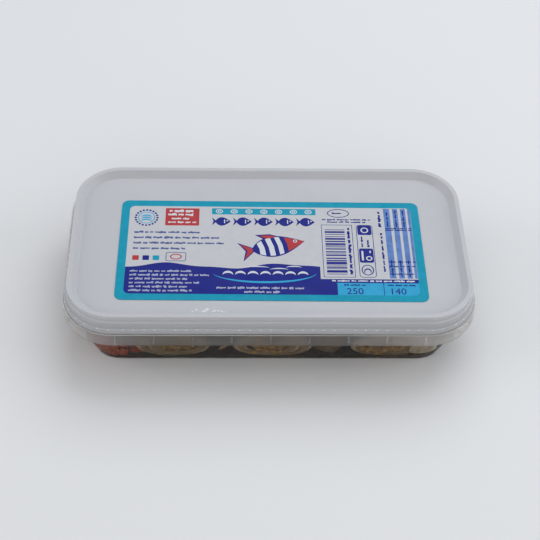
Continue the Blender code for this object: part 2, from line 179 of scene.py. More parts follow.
# The tub. One thin shell of clear, slightly milky polypropylene, moulded in one shot: floor, sloping
# walls, an upstand for the lid, and a flange whose skirt is stiffened by small webs behind it.
rim_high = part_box("tub")[1]
RIM_HALF_X = rim_high.x
RIM_HALF_Y = rim_high.y
RIM_RADIUS = 21.1 * MM
FLANGE_TOP = 23.5 * MM
SKIRT_FOOT = 17.6 * MM
UPSTAND_TOP = rim_high.z
FOOT_HALF_X = 70.9 * MM
FOOT_HALF_Y = 36.4 * MM
FOOT_RADIUS = 11.2 * MM
WALL = 0.8 * MM
UPSTAND_INSET = 3.7 * MM
SLOPE_TOP = 14.5 * MM
FLOOR_BEND = 1.1 * MM
FLOOR_INSET = 12 * MM
SHOULDER_BEND = 1.2 * MM
FOOT_RIM = 2.2 * MM
FOOT_HOLLOW = 0.3 * MM
CORNER_STEPS = 22
LONG_SIDE_STEPS = 30
SHORT_SIDE_STEPS = 12
BEND_STEPS = 4
LONG_SIDE_WEBS = 9
SHORT_SIDE_WEBS = 3
WEB_PITCH = 15.15 * MM
WEB_HALF = 0.25 * MM
WEB_FOOT = 19.3 * MM
WEB_BITE = 0.3 * MM
WEB_MARK = 0.04 * MM
FLANGE_MARGIN = 0.1 * MM
EDGE_WIDTH = 0.5 * MM
# The wall keeps the first of the tub's four materials.
FLANGE_SLOT = 1
WEB_SLOT = 2
EDGE_SLOT = 3


def inset_ring(inset, height):
    """A round-cornered rectangle set in from the flange's edge: half length, half width, radius, height."""
    return Vector((RIM_HALF_X - inset, RIM_HALF_Y - inset, RIM_RADIUS - inset, height))


def slope_ring(height, inward=0.0):
    """The same on the sloping wall between the foot and the upstand, set inward."""
    foot = Vector((FOOT_HALF_X, FOOT_HALF_Y, FOOT_RADIUS, 0))
    ring = foot.lerp(inset_ring(UPSTAND_INSET, SLOPE_TOP), height / SLOPE_TOP)
    return ring - Vector((inward, inward, inward, 0))


def round_off(corners):
    """Rings along a section whose corners, given as (ring, bend radius), are each bent round."""
    rings = [corners[0][0]]
    for (before, _), (corner, bend), (after, _) in zip(corners, corners[1:], corners[2:]):
        start = corner + (before - corner).normalized() * bend
        end = corner + (after - corner).normalized() * bend
        for step in range(BEND_STEPS + 1):
            share = step / BEND_STEPS
            rings.append(start.lerp(corner, share).lerp(corner.lerp(end, share), share))
    rings.append(corners[-1][0])
    return rings


def outline_points(half_x, half_y, radius):
    """Points round a round-cornered rectangle, with points along its straight sides as well."""
    points = []
    for quarter, (side_x, side_y) in enumerate(((1, 1), (-1, 1), (-1, -1), (1, -1))):
        middle = Vector((side_x * (half_x - radius), side_y * (half_y - radius)))
        for step in range(CORNER_STEPS + 1):
            angle = math.radians(90 * (quarter + step / CORNER_STEPS))
            points.append(middle + radius * Vector((math.cos(angle), math.sin(angle))))
        steps = SHORT_SIDE_STEPS if quarter % 2 else LONG_SIDE_STEPS
        if quarter % 2 == 0:
            onward = Vector((-2 * (half_x - radius), 0)) * side_x
        else:
            onward = Vector((0, -2 * (half_y - radius))) * side_y
        last = points[-1]
        points.extend(last + onward * step / steps for step in range(1, steps))
    return points


def join_loops(shape, loops, slot_number=0):
    """Faces between closed loops of points that follow each other."""
    for near, far in zip(loops, loops[1:]):
        for index, vert in enumerate(near):
            following = (index + 1) % len(near)
            face = shape.faces.new((vert, near[following], far[following], far[index]))
            face.material_index = slot_number


def loft_rings(rings):
    """A closed body through rings, its first and last ring filled in."""
    shape = bmesh.new()
    loops = []
    for half_x, half_y, radius, height in rings:
        outline = outline_points(half_x, half_y, radius)
        loops.append([shape.verts.new((point.x, point.y, height)) for point in outline])
    join_loops(shape, loops)
    shape.faces.new(loops[0])
    shape.faces.new(loops[-1])
    return shape


def web_places():
    """Where each web stands: a point on the flange's edge and the direction out of it."""
    places = []
    for index in range(LONG_SIDE_WEBS):
        along = (index - (LONG_SIDE_WEBS - 1) / 2) * WEB_PITCH
        places.append((along, RIM_HALF_Y, 90))
        places.append((along, -RIM_HALF_Y, 270))
    for index in range(SHORT_SIDE_WEBS):
        along = (index - (SHORT_SIDE_WEBS - 1) / 2) * WEB_PITCH
        places.append((RIM_HALF_X, along, 0))
        places.append((-RIM_HALF_X, along, 180))
    for quarter, (side_x, side_y) in enumerate(((1, 1), (-1, 1), (-1, -1), (1, -1))):
        for share in (1 / 3, 2 / 3):
            degrees = 90 * (quarter + share)
            x = side_x * (RIM_HALF_X - RIM_RADIUS) + RIM_RADIUS * math.cos(math.radians(degrees))
            y = side_y * (RIM_HALF_Y - RIM_RADIUS) + RIM_RADIUS * math.sin(math.radians(degrees))
            places.append((x, y, degrees))
    return places


def inset_of(point):
    """How far a point lies in from the flange's edge, seen from above."""
    out_x = abs(point.x) - (RIM_HALF_X - RIM_RADIUS)
    out_y = abs(point.y) - (RIM_HALF_Y - RIM_RADIUS)
    if min(out_x, out_y) > 0:
        return RIM_RADIUS - math.hypot(out_x, out_y)
    return RIM_RADIUS - max(out_x, out_y)


tub_section = round_off([
    (slope_ring(WALL, FLOOR_INSET), 0),
    (slope_ring(WALL, WALL), FLOOR_BEND),
    (inset_ring(UPSTAND_INSET + WALL, SLOPE_TOP), SHOULDER_BEND),
    (inset_ring(UPSTAND_INSET + WALL, UPSTAND_TOP), 0.25 * MM),
    (inset_ring(UPSTAND_INSET, UPSTAND_TOP), 0.25 * MM),
    (inset_ring(UPSTAND_INSET, FLANGE_TOP), 0.3 * MM),
    (inset_ring(WEB_MARK, FLANGE_TOP), 0.5 * MM),
    (inset_ring(WEB_MARK, SKIRT_FOOT), 0.3 * MM),
    (inset_ring(WALL, SKIRT_FOOT), 0.3 * MM),
    (inset_ring(WALL, FLANGE_TOP - WALL), 0.35 * MM),
    (inset_ring(UPSTAND_INSET, FLANGE_TOP - WALL), 0.3 * MM),
    (inset_ring(UPSTAND_INSET, SLOPE_TOP), 1.0 * MM),
    (slope_ring(0), 0.7 * MM),
    (slope_ring(0, FOOT_RIM), 0.2 * MM),
    (slope_ring(FOOT_HOLLOW, FOOT_RIM + FOOT_HOLLOW), 0.2 * MM),
    (slope_ring(FOOT_HOLLOW, FLOOR_INSET), 0),
])
tub_shape = loft_rings(tub_section)
shell_faces = len(tub_shape.faces)
web_inner = UPSTAND_INSET + WEB_BITE
web_top = FLANGE_TOP - WALL / 2
for x, y, degrees in web_places():
    web = bmesh.ops.create_cube(tub_shape, size=1)["verts"]
    size = Matrix.Diagonal((web_inner, 2 * WEB_HALF, web_top - WEB_FOOT, 1))
    middle = Matrix.Translation((-web_inner / 2, 0, (web_top + WEB_FOOT) / 2))
    turn = Matrix.Rotation(math.radians(degrees), 4, "Z")
    bmesh.ops.transform(tub_shape, matrix=Matrix.Translation((x, y, 0)) @ turn @ middle @ size, verts=web)
for index, face in enumerate(tub_shape.faces):
    middle = face.calc_center_median()
    inset = inset_of(middle)
    if index >= shell_faces:
        face.material_index = WEB_SLOT
    elif middle.z > FLANGE_TOP - EDGE_WIDTH and inset < EDGE_WIDTH:
        face.material_index = EDGE_SLOT
    elif inset < UPSTAND_INSET - FLANGE_MARGIN:
        face.material_index = FLANGE_SLOT


def shade_between(material, shader, amount, stops):
    """Colour the surface from a ramp of (place, colour) stops, and hand the colour on."""
    ramp = add_node(material, "ShaderNodeValToRGB", {"Fac": amount})
    elements = ramp.color_ramp.elements
    for _ in range(len(stops) - 2):
        elements.new(0.5)
    for element, (place, colour) in zip(elements, stops):
        element.position = place
        element.color = (*colour, 1)
    material.node_tree.links.new(ramp.outputs["Color"], shader.inputs["Base Color"])
    return ramp.outputs["Color"]


def roughen(material, shader, amount, low, high):
    """Roughness that wanders between two values with a texture."""
    spread = {"Value": amount, "From Min": 0.35, "From Max": 0.65, "To Min": low, "To Max": high}
    wander = add_node(material, "ShaderNodeMapRange", spread)
    material.node_tree.links.new(wander.outputs["Result"], shader.inputs["Roughness"])


def clear_polypropylene(name, colour, clearness, roughness, bending, shine):
    """Clear plastic with a share of milkiness, faintly uneven from the mould."""
    plastic, shader = new_material(name, colour, roughness)
    shader.inputs["Transmission Weight"].default_value = clearness
    shader.inputs["IOR"].default_value = bending
    shader.inputs["Coat Weight"].default_value = shine
    shader.inputs["Coat Roughness"].default_value = 0.3
    raise_surface(plastic, shader, [
        (mottle(plastic, 60, 1), 0.008 * MM),
        (mottle(plastic, 700, 1), 0.001 * MM),
    ])
    roughen(plastic, shader, mottle(plastic, 60, 3), roughness * 0.8, roughness * 1.3)
    return plastic


# The flange is painted milkier, and so lighter, towards the tub's two ends, and a little more so at the
# right end: painted light. The webs are painted as much lighter there, painted light as well.
CLEAREST_X = -8.5 * MM
MILKY_FROM = 36.5 * MM
MILKY_TO = 83.5 * MM
FLANGE_CLEAR = 0.94
FLANGE_MILKY = 0.64
WEB_DULL = (0.30, 0.30, 0.295)
WEB_BRIGHT = (0.78, 0.78, 0.77)


def towards_ends(plastic, low, high):
    """A number that runs from low round the clearest place to high at the tub's two ends, where it paints
    light.
    """
    place = add_node(plastic, "ShaderNodeTexCoord", {}).outputs["Object"]
    along = add_node(plastic, "ShaderNodeSeparateXYZ", {"Vector": place}).outputs["X"]
    shifted = add_node(plastic, "ShaderNodeMath", {0: along, 1: -CLEAREST_X}).outputs["Value"]
    off = add_node(plastic, "ShaderNodeMath", {0: shifted}, operation="ABSOLUTE").outputs["Value"]
    spread = {"Value": off, "From Min": MILKY_FROM, "From Max": MILKY_TO, "To Min": low, "To Max": high}
    return add_node(plastic, "ShaderNodeMapRange", spread).outputs["Result"]


# The wall is thin, so it bends light less than a thick block of the same plastic would.
clear_wall = clear_polypropylene("clear_polypropylene_wall", (0.94, 0.92, 0.89), 0.985, 0.06, 1.115, 0.0)
clear_flange = clear_polypropylene(
    "clear_polypropylene_flange", (0.82, 0.80, 0.79), FLANGE_CLEAR, 0.4, 1.2, 0.1
)
clear_webs = clear_polypropylene("clear_polypropylene_webs", WEB_DULL, 0.2, 0.5, 1.06, 0.0)
# The flange's top outer edge is whiter and nearly opaque: a painted highlight along the rim.
clear_edge = clear_polypropylene("clear_polypropylene_edge_painted_highlight", (0.94, 0.93, 0.92), 0.15, 0.35, 1.1, 0.15)
flange_shader = clear_flange.node_tree.nodes["Principled BSDF"]
flange_clearness = towards_ends(clear_flange, FLANGE_CLEAR, FLANGE_MILKY)
clear_flange.node_tree.links.new(flange_clearness, flange_shader.inputs["Transmission Weight"])
web_shader = clear_webs.node_tree.nodes["Principled BSDF"]
shade_between(clear_webs, web_shader, towards_ends(clear_webs, 0, 1), [(0.0, WEB_DULL), (1.0, WEB_BRIGHT)])

tub = add_piece("tub_shell", tub_shape, [clear_wall, clear_flange, clear_webs, clear_edge], 35)
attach(tub, "root")
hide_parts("tub")


# The rolled fillets. Each is a herring fillet rolled up skin outward round its filling, and it lies
# from one long wall to the other, so that its spiral cut ends face the walls.

# Each roll: its place along the tub, its halves across and up, how far it lies askew, which way round
# and from which angle it is wound, and how far its cut ends stay off the walls.
ROLLS = (
    {
        "x": -36.4 * MM, "half_x": 16.0 * MM, "half_z": 10.2 * MM, "slant": 0.03,
        "way": 1, "start": 118, "off": 0.3 * MM,
    },
    {
        "x": -0.6 * MM, "half_x": 17.0 * MM, "half_z": 10.4 * MM, "slant": -0.02,
        "way": -1, "start": 62, "off": 0.3 * MM,
    },
    {
        "x": 49.4 * MM, "half_x": 18.6 * MM, "half_z": 10.5 * MM, "slant": -0.03,
        "way": 1, "start": 150, "off": 1.0 * MM,
    },
)
FOOD_GAP = 0.6 * MM
TURNS = 1.4
# How thick the band is at its outer end, in turns.
LAST_PART = 0.62
# In shares of a roll's half sizes: its eye, the gap between its turns, how far the band slims, swells
# and creases along the roll, and how high the roll's middle stands.
EYE = 0.33
TURN_GAP = 0.016
ROLL_SLIM = 0.018
ROLL_SWELL = 0.015
ROLL_CREASE = 0.006
ROLL_SIT = 0.82
ROLL_STEPS = 150
ROLL_STATIONS = 22
END_STEPS = 7
END_ROUND = 0.5 * MM
END_BLUNTNESS = 2.6
PALE_STEPS = 3
EYE_RECESS = 1.0 * MM
RAGGED_EDGE = 0.1 * MM
ROLL_GAP = 0.3 * MM
SEED = 41
SKIN_SLOT = 0
FLESH_SLOT = 1
PALE_EDGE_SLOT = 2


def wall_reach(x, height):
    """How far from the middle the tub's long wall is, inside, at a point along it, floor bend included."""
    half_x, half_y, radius, _ = slope_ring(min(max(height, 0.0), SLOPE_TOP), WALL)
    in_bend = min(1.0, max(0.0, (height - WALL) / FLOOR_BEND))
    half_y -= FLOOR_BEND * (1 - math.sqrt(in_bend)) ** 2
    past = abs(x) - (half_x - radius)
    if past <= 0:
        return half_y
    return half_y - radius + math.sqrt(max(radius**2 - past**2, 0.0))


def roll_middle(roll):
    """The height of a roll's middle, just clear of the floor."""
    return WALL + ROLL_GAP + roll["half_z"] * ROLL_SIT


def band_point(roll, phase, share, depth, end, blunt):
    """A point of the rolled band: share of its length, depth from flesh to skin side, place between ends."""
    pitch = (1 - EYE) / (TURNS + LAST_PART)
    thickness = pitch - TURN_GAP
    slim = 1 - ROLL_SLIM * (1 + math.cos(3 * end + phase[0]))
    angle = math.radians(roll["start"]) + roll["way"] * share * TURNS * 2 * math.pi
    taper = min(1.0, 0.2 + 4 * (1 - share), 0.4 + 5 * share)
    reach = EYE + share * TURNS * pitch + ROLL_SWELL * math.sin(3 * angle + phase[1] + end) * share
    reach += ROLL_CREASE * math.sin(11 * angle + 7 * end + phase[2])
    recess = EYE_RECESS * (1 - share) * (0.6 + 0.4 * math.sin(2 * angle + phase[2]))
    recess += RAGGED_EDGE * (1 + math.sin(17 * angle + phase[0] + 2 * end)) * (0.3 + 0.7 * depth)
    rim = reach + thickness * taper * depth
    x = roll["x"] + roll["half_x"] * rim * math.cos(angle) * slim
    z = roll_middle(roll) + roll["half_z"] * rim * math.sin(angle) * slim
    askew = math.copysign(1, end) * roll["slant"] * FOOT_HALF_Y
    length = wall_reach(x + askew, z) - roll["off"] - recess - END_ROUND * blunt
    return Vector((x + roll["slant"] * end * length, end * length, z))


def roll_fillet(roll, number):
    """The band's closed cross-section, from end to end and back, swept along the spiral."""
    rule = random.Random(SEED + number)
    phase = [rule.uniform(0, 2 * math.pi) for _ in range(3)]
    section = []
    for station in range(ROLL_STATIONS + 1):
        section.append((1.0, -1 + 2 * station / ROLL_STATIONS, 1.0, SKIN_SLOT))
    for step in range(1, END_STEPS):
        depth = 1 - step / END_STEPS
        slot = PALE_EDGE_SLOT if step < PALE_STEPS else FLESH_SLOT
        section.append((depth, 1.0, abs(2 * depth - 1) ** END_BLUNTNESS, slot))
    for station in range(ROLL_STATIONS + 1):
        section.append((0.0, 1 - 2 * station / ROLL_STATIONS, 1.0, FLESH_SLOT))
    for step in range(1, END_STEPS):
        depth = step / END_STEPS
        slot = PALE_EDGE_SLOT if step > END_STEPS - PALE_STEPS else FLESH_SLOT
        section.append((depth, -1.0, abs(2 * depth - 1) ** END_BLUNTNESS, slot))
    shape = bmesh.new()
    lie = shape.loops.layers.uv.new("lie")
    loops = []
    for step in range(ROLL_STEPS + 1):
        share = step / ROLL_STEPS
        points = [band_point(roll, phase, share, depth, end, blunt) for depth, end, blunt, _ in section]
        loops.append([shape.verts.new(point) for point in points])
    for step, (near, far) in enumerate(zip(loops, loops[1:])):
        for index, vert in enumerate(near):
            following = (index + 1) % len(near)
            face = shape.faces.new((vert, near[following], far[following], far[index]))
            face.material_index = section[index][3]
            corners = ((index, step), (index + 1, step), (index + 1, step + 1), (index, step + 1))
            for corner, (place, along) in zip(face.loops, corners):
                corner[lie].uv = (along / ROLL_STEPS, place / len(section))
    for loop in (loops[0], loops[-1]):
        face = shape.faces.new(loop)
        face.material_index = FLESH_SLOT
        bmesh.ops.triangulate(shape, faces=[face])
    return shape


def moist_food(name, colour, roughness):
    """A material with the wet shine of pickled food, a little light going in under the surface."""
    food, shader = new_material(name, colour, roughness)
    shader.inputs["Specular IOR Level"].default_value = 0.25
    shader.inputs["Coat Weight"].default_value = 0.05
    shader.inputs["Coat Roughness"].default_value = 0.15
    shader.inputs["Subsurface Weight"].default_value = 0.15
    shader.inputs["Subsurface Radius"].default_value = (1.0, 0.6, 0.4)
    shader.inputs["Subsurface Scale"].default_value = 0.8 * MM
    return food, shader


skin, skin_shader = moist_food("herring_skin", (0.34, 0.33, 0.28), 0.3)
skin_shader.inputs["Metallic"].default_value = 0.25
shade_between(skin, skin_shader, mottle(skin, 130, 4, (1, 0.25, 1)), [
    (0.32, (0.17, 0.15, 0.11)),
    (0.5, (0.32, 0.28, 0.20)),
    (0.68, (0.50, 0.45, 0.35)),
])
scales = add_node(skin, "ShaderNodeTexVoronoi", {"Scale": 620.0}, feature="SMOOTH_F1")
raise_surface(skin, skin_shader, [
    (scales.outputs["Distance"], 0.12 * MM),
    (mottle(skin, 300), 0.1 * MM),
])

flesh, flesh_shader = moist_food("herring_flesh", (0.40, 0.33, 0.24), 0.4)
flesh_lie = add_node(flesh, "ShaderNodeUVMap", {}, uv_map="lie").outputs["UV"]
flakes = add_node(flesh, "ShaderNodeTexWave", {
    "Vector": flesh_lie,
    "Scale": 34.0,
    "Distortion": 3.0,
    "Detail": 3.0,
    "Detail Scale": 2.0,
}, bands_direction="X").outputs["Fac"]
flesh_blend = add_node(flesh, "ShaderNodeMath", {0: flakes, 1: mottle(flesh, 260, 4)}, operation="MULTIPLY")
shade_between(flesh, flesh_shader, flesh_blend.outputs["Value"], [
    (0.05, (0.23, 0.165, 0.085)),
    (0.28, (0.32, 0.245, 0.135)),
    (0.5, (0.41, 0.325, 0.205)),
])
raise_surface(flesh, flesh_shader, [(flakes, 0.08 * MM), (mottle(flesh, 900), 0.05 * MM)])

pale_edge, pale_edge_shader = moist_food("herring_pale_edge", (0.66, 0.61, 0.50), 0.35)
shade_between(pale_edge, pale_edge_shader, mottle(pale_edge, 240, 3), [
    (0.35, (0.44, 0.38, 0.29)),
    (0.62, (0.60, 0.53, 0.42)),
])
raise_surface(pale_edge, pale_edge_shader, [(mottle(pale_edge, 700), 0.05 * MM)])

for number, roll in enumerate(ROLLS, start=1):
    fillet = add_piece(f"rolled_fillet_{number}", roll_fillet(roll, number), [skin, flesh, pale_edge], 60)
    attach(fillet, "root")
    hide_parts(f"rollmop_{number}")


# The filling. Chopped onion and mustard seed, packed into the eye of each roll before it is pinned,
# swollen and stained by the vinegar.
FILLING_SHARE = 0.93
CORE_SIDES = 30
CORE_STATIONS = 46
LONG_LUMPS = 0.018
SHORT_LUMPS = 0.012
SEED_RADIUS = 0.95 * MM
SEEDS_AT_END = 7
ONION_BITS = 64
# The least and most half sizes of a bit of onion, and how far bits lie behind the cut end.
ONION_BIT_HALVES = ((1.0, 1.9), (0.8, 1.4), (0.35, 0.6))
ONION_BITS_BEHIND = (0.2, 1.2)
ONION_SLOT = 0
SEED_SLOT = 1


def eye_reach(roll, angle):
    """How far the filling spreads in a direction: out to the band's first turn, which winds away from it."""
    turned = (roll["way"] * (angle - math.radians(roll["start"])) / (2 * math.pi)) % 1
    turned = min(turned, 5 * (1 - turned))
    return FILLING_SHARE * (EYE + turned * (1 - EYE) / (TURNS + LAST_PART))


def filling_point(roll, angle, reach, end, behind=0.0):
    """A point of the filling, with end from -1 at the front cut end to 1 at the back one."""
    x = roll["x"] + roll["half_x"] * reach * math.cos(angle)
    z = roll_middle(roll) + roll["half_z"] * reach * math.sin(angle)
    y = end * (wall_reach(x, z) - FOOD_GAP - SEED_RADIUS - behind)
    return Vector((x + roll["slant"] * y, y, z))


def lumpy_bar(shape, roll, phase):
    """The core of packed onion: a bar that fills the eye, with lumps all over."""
    loops = []
    for station in range(CORE_STATIONS + 1):
        place = -1 + 2 * station / CORE_STATIONS
        tuck = math.sqrt(max(0.0, 1 - abs(place) ** 14))
        loop = []
        for side in range(CORE_SIDES):
            angle = 2 * math.pi * side / CORE_SIDES
            reach = eye_reach(roll, angle) * (0.84 + 0.16 * tuck)
            reach += LONG_LUMPS * math.sin(3 * angle + phase[0] + 4 * place)
            uneven = math.sin(5 * angle - 23 * place + phase[1]) * math.cos(31 * place + 2 * angle)
            reach += SHORT_LUMPS * uneven
            loop.append(shape.verts.new(filling_point(roll, angle, reach, place)))
        loops.append(loop)
    join_loops(shape, loops, ONION_SLOT)
    for loop in (loops[0], loops[-1]):
        shape.faces.new(loop).material_index = ONION_SLOT


def add_seed(shape, place, radius, rule, slot_number):
    """One mustard seed: a slightly uneven ball."""
    squash = Matrix.Diagonal([radius * rule.uniform(0.88, 1.0) for _ in range(3)] + [1])
    angle = rule.uniform(0, math.pi)
    axis = Vector((rule.random(), rule.random(), 0.3)).normalized()
    at = Matrix.Translation(place) @ Matrix.Rotation(angle, 4, axis) @ squash
    ball = bmesh.ops.create_icosphere(shape, subdivisions=3, radius=1, matrix=at)
    for face in {face for vert in ball["verts"] for face in vert.link_faces}:
        face.material_index = slot_number


def add_onion_bit(shape, place, rule, slot_number):
    """A chopped bit of onion: a small curved slab with soft corners."""
    bit = bmesh.ops.create_icosphere(shape, subdivisions=2, radius=1)["verts"]
    size = Matrix.Diagonal([rule.uniform(*limits) * MM for limits in ONION_BIT_HALVES] + [1])
    turn = Matrix.Rotation(rule.uniform(0, math.pi), 4, "Z")
    turn = turn @ Matrix.Rotation(rule.uniform(0, math.pi), 4, "X")
    bmesh.ops.transform(shape, matrix=Matrix.Translation(place) @ turn @ size, verts=bit)
    for face in {face for vert in bit for face in vert.link_faces}:
        face.material_index = slot_number


onion_bits, onion_bits_shader = moist_food("stained_onion", (0.46, 0.36, 0.17), 0.35)
shade_between(onion_bits, onion_bits_shader, mottle(onion_bits, 420, 3), [
    (0.35, (0.32, 0.20, 0.06)),
    (0.65, (0.50, 0.37, 0.165)),
])
raise_surface(onion_bits, onion_bits_shader, [(mottle(onion_bits, 900, 3), 0.12 * MM)])
seed_coat, seed_coat_shader = moist_food("mustard_seed", (0.58, 0.33, 0.06), 0.4)
shade_between(seed_coat, seed_coat_shader, mottle(seed_coat, 520, 2), [
    (0.38, (0.37, 0.205, 0.047)),
    (0.6, (0.60, 0.385, 0.12)),
])
raise_surface(seed_coat, seed_coat_shader, [(mottle(seed_coat, 2600), 0.02 * MM)])

for number, roll in enumerate(ROLLS, start=1):
    rule = random.Random(SEED * 2 + number)
    phase = [rule.uniform(0, 2 * math.pi) for _ in range(2)]
    filling_shape = bmesh.new()
    lumpy_bar(filling_shape, roll, phase)
    for end in (-1, 1):
        for _ in range(ONION_BITS // 2):
            angle = rule.uniform(0, 2 * math.pi)
            reach = eye_reach(roll, angle) * 0.88 * math.sqrt(rule.random())
            place = filling_point(roll, angle, reach, end, rule.uniform(*ONION_BITS_BEHIND) * MM)
            add_onion_bit(filling_shape, place, rule, ONION_SLOT)
        for index in range(SEEDS_AT_END):
            angle = phase[1] + 2 * math.pi * index / SEEDS_AT_END
            reach = eye_reach(roll, angle) * (0.25 + 0.6 * (index % 2))
            add_seed(filling_shape, filling_point(roll, angle, reach, end), SEED_RADIUS, rule, SEED_SLOT)
    core = add_piece(f"roll_filling_{number}", filling_shape, [onion_bits, seed_coat], 60)
    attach(core, "root")
    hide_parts(f"filling_{number}")


# Loose mustard seeds. Some have come out of the rolls with bits of onion and are caught between the
# cut ends and the walls, most of them at the right-hand roll, and some have sunk to the floor.

# For each roll: seeds at its front end, seeds at its back end, how far across the end they reach, and
# the part of its rim they lie by, in turns from its right side round over its top.
CAUGHT_SEEDS = (
    (4, 6, 0.5, 0.6, 0.9),
    (14, 8, 0.68, 0.64, 0.86),
    (26, 14, 0.74, 0.5, 0.7),
)
SEED_CHANCE = 0.6
FLOOR_SEEDS = 34
# Places along the tub, between the rolls, where seeds have sunk, and how far they spread from these.
FLOOR_SEED_PLACES = (-56, 20, 24, 27, 70)
FLOOR_SEED_SPREAD = 3
FLOOR_SEED_REACH = 33

loose_rule = random.Random(SEED * 5)
loose_shape = bmesh.new()
for roll, (front_count, back_count, spread, start_turn, end_turn) in zip(ROLLS, CAUGHT_SEEDS):
    for end, count in ((-1, front_count), (1, back_count)):
        for _ in range(count):
            angle = 2 * math.pi * loose_rule.uniform(start_turn, end_turn)
            reach = spread * math.sqrt(loose_rule.uniform(0.08, 1.0))
            radius = SEED_RADIUS * loose_rule.uniform(1.0, 1.3)
            x = roll["x"] + roll["half_x"] * reach * math.cos(angle)
            z = roll_middle(roll) + roll["half_z"] * reach * math.sin(angle)
            y = wall_reach(x, z) - radius * loose_rule.uniform(1.1, 1.3)
            if loose_rule.random() < SEED_CHANCE:
                add_seed(loose_shape, (x, end * y, z), radius, loose_rule, SEED_SLOT)
            else:
                add_onion_bit(loose_shape, (x, end * (y - 0.4 * MM), z), loose_rule, ONION_SLOT)
for _ in range(FLOOR_SEEDS):
    x = loose_rule.choice(FLOOR_SEED_PLACES) * MM
    x += loose_rule.uniform(-FLOOR_SEED_SPREAD, FLOOR_SEED_SPREAD) * MM
    y = loose_rule.uniform(-FLOOR_SEED_REACH, FLOOR_SEED_REACH) * MM
    reach = min(wall_reach(x, WALL), wall_reach(x, SLOPE_TOP)) - 2 * SEED_RADIUS
    place = (x, max(-reach, min(reach, y)), WALL + SEED_RADIUS)
    add_seed(loose_shape, place, SEED_RADIUS, loose_rule, SEED_SLOT)
loose_seeds = add_piece("loose_mustard_seeds", loose_shape, [onion_bits, seed_coat], 60)
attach(loose_seeds, "root")


# The carrot slices. Raw carrot cut across into rounds and laid along the left end, softened by the
# brine: a deeper orange ring round a paler core with rays.

# Each slice: its middle in millimetres, the way its cut face looks, and its radius in millimetres.
CARROTS = (
    {"at": (-67.6, -30.6, 11.5), "axis": (-0.65, -0.65, -0.39), "radius": 9.9},
    {"at": (-64.9, -27.9, 13.0), "axis": (-0.65, -0.65, -0.39), "radius": 8.6},
    {"at": (-72.3, -2.6, 11.4), "axis": (-0.927, -0.03, -0.375), "radius": 9.9},
    {"at": (-68.4, -1.2, 12.8), "axis": (-0.927, 0.04, -0.375), "radius": 8.9},
    {"at": (-67.6, 30.4, 11.5), "axis": (-0.65, 0.65, -0.39), "radius": 9.8},
    {"at": (-64.9, 27.7, 13.0), "axis": (-0.65, 0.65, -0.39), "radius": 8.5},
    {"at": (-58.9, -8.5, 11.4), "axis": (-0.98, -0.17, 0.08), "radius": 9.4},
    {"at": (-58.6, 12.5, 11.2), "axis": (-0.98, 0.16, 0.06), "radius": 9.2},
)
CARROT_THICKNESS = 3.1 * MM
CARROT_SIDES = 72
CARROT_RINGS = 8
CARROT_RAYS = 46
CORE_SHARE = 0.5
CORE_SINK = 0.09
# Rings over a slice's edge: how far in from its radius and up from its middle, as shares.
CARROT_EDGE = ((0.06, 1.0), (0.02, 0.92), (0.0, 0.78), (0.0, 0.0), (0.0, -0.78), (0.02, -0.92), (0.06, -1.0))


def cut_carrot(radius, phase):
    """A round slice, slightly out of round, its cut faces sunk a little round the core."""
    shape = bmesh.new()
    levels = [(index / CARROT_RINGS, 1.0) for index in range(1, CARROT_RINGS)]
    levels += [(1 - inward, height) for inward, height in CARROT_EDGE]
    levels += [(index / CARROT_RINGS, -1.0) for index in range(CARROT_RINGS - 1, 0, -1)]
    loops = []
    for reach, height in levels:
        loop = []
        for side in range(CARROT_SIDES):
            angle = 2 * math.pi * side / CARROT_SIDES
            uneven = 1 - 0.012 * (2 + math.sin(2 * angle + phase) + math.sin(5 * angle + phase))
            sunk = 1 - CORE_SINK * math.exp(-((reach - CORE_SHARE) / 0.12) ** 2)
            z = CARROT_THICKNESS / 2 * height * sunk
            out = radius * reach * uneven
            loop.append(shape.verts.new((out * math.cos(angle), out * math.sin(angle), z)))
        loops.append(loop)
    join_loops(shape, loops)
    shape.faces.new(loops[0])
    shape.faces.new(loops[-1])
    return shape


carrot, carrot_shader = moist_food("pickled_carrot", (0.62, 0.17, 0.04), 0.35)
carrot_place = add_node(carrot, "ShaderNodeTexCoord", {}).outputs["Object"]
flat_place = add_node(carrot, "ShaderNodeVectorMath", {
    0: carrot_place,
    1: (1, 1, 0),
}, operation="MULTIPLY").outputs["Vector"]
from_middle = add_node(carrot, "ShaderNodeVectorMath", {0: flat_place}, operation="LENGTH")
uneven_ring = add_node(carrot, "ShaderNodeMath", {
    0: mottle(carrot, 300, 3),
    1: 1.6 * MM,
    2: from_middle.outputs["Value"],
}, operation="MULTIPLY_ADD")
ring_share = add_node(carrot, "ShaderNodeMath", {
    0: uneven_ring.outputs["Value"],
    1: 10 * MM,
}, operation="DIVIDE").outputs["Value"]
shade_between(carrot, carrot_shader, ring_share, [
    (0.0, (0.47, 0.085, 0.006)),
    (0.46, (0.49, 0.09, 0.007)),
    (0.56, (0.36, 0.045, 0.003)),
    (0.98, (0.43, 0.055, 0.004)),
])
round_core = add_node(carrot, "ShaderNodeTexGradient", {"Vector": carrot_place}, gradient_type="RADIAL")
ray_wave = add_node(carrot, "ShaderNodeMath", {
    0: round_core.outputs["Fac"],
    1: 2 * math.pi * CARROT_RAYS,
}, operation="MULTIPLY").outputs["Value"]
rays = add_node(carrot, "ShaderNodeMath", {0: ray_wave}, operation="SINE").outputs["Value"]
raise_surface(carrot, carrot_shader, [(rays, 0.03 * MM), (mottle(carrot, 1100, 3), 0.07 * MM)])

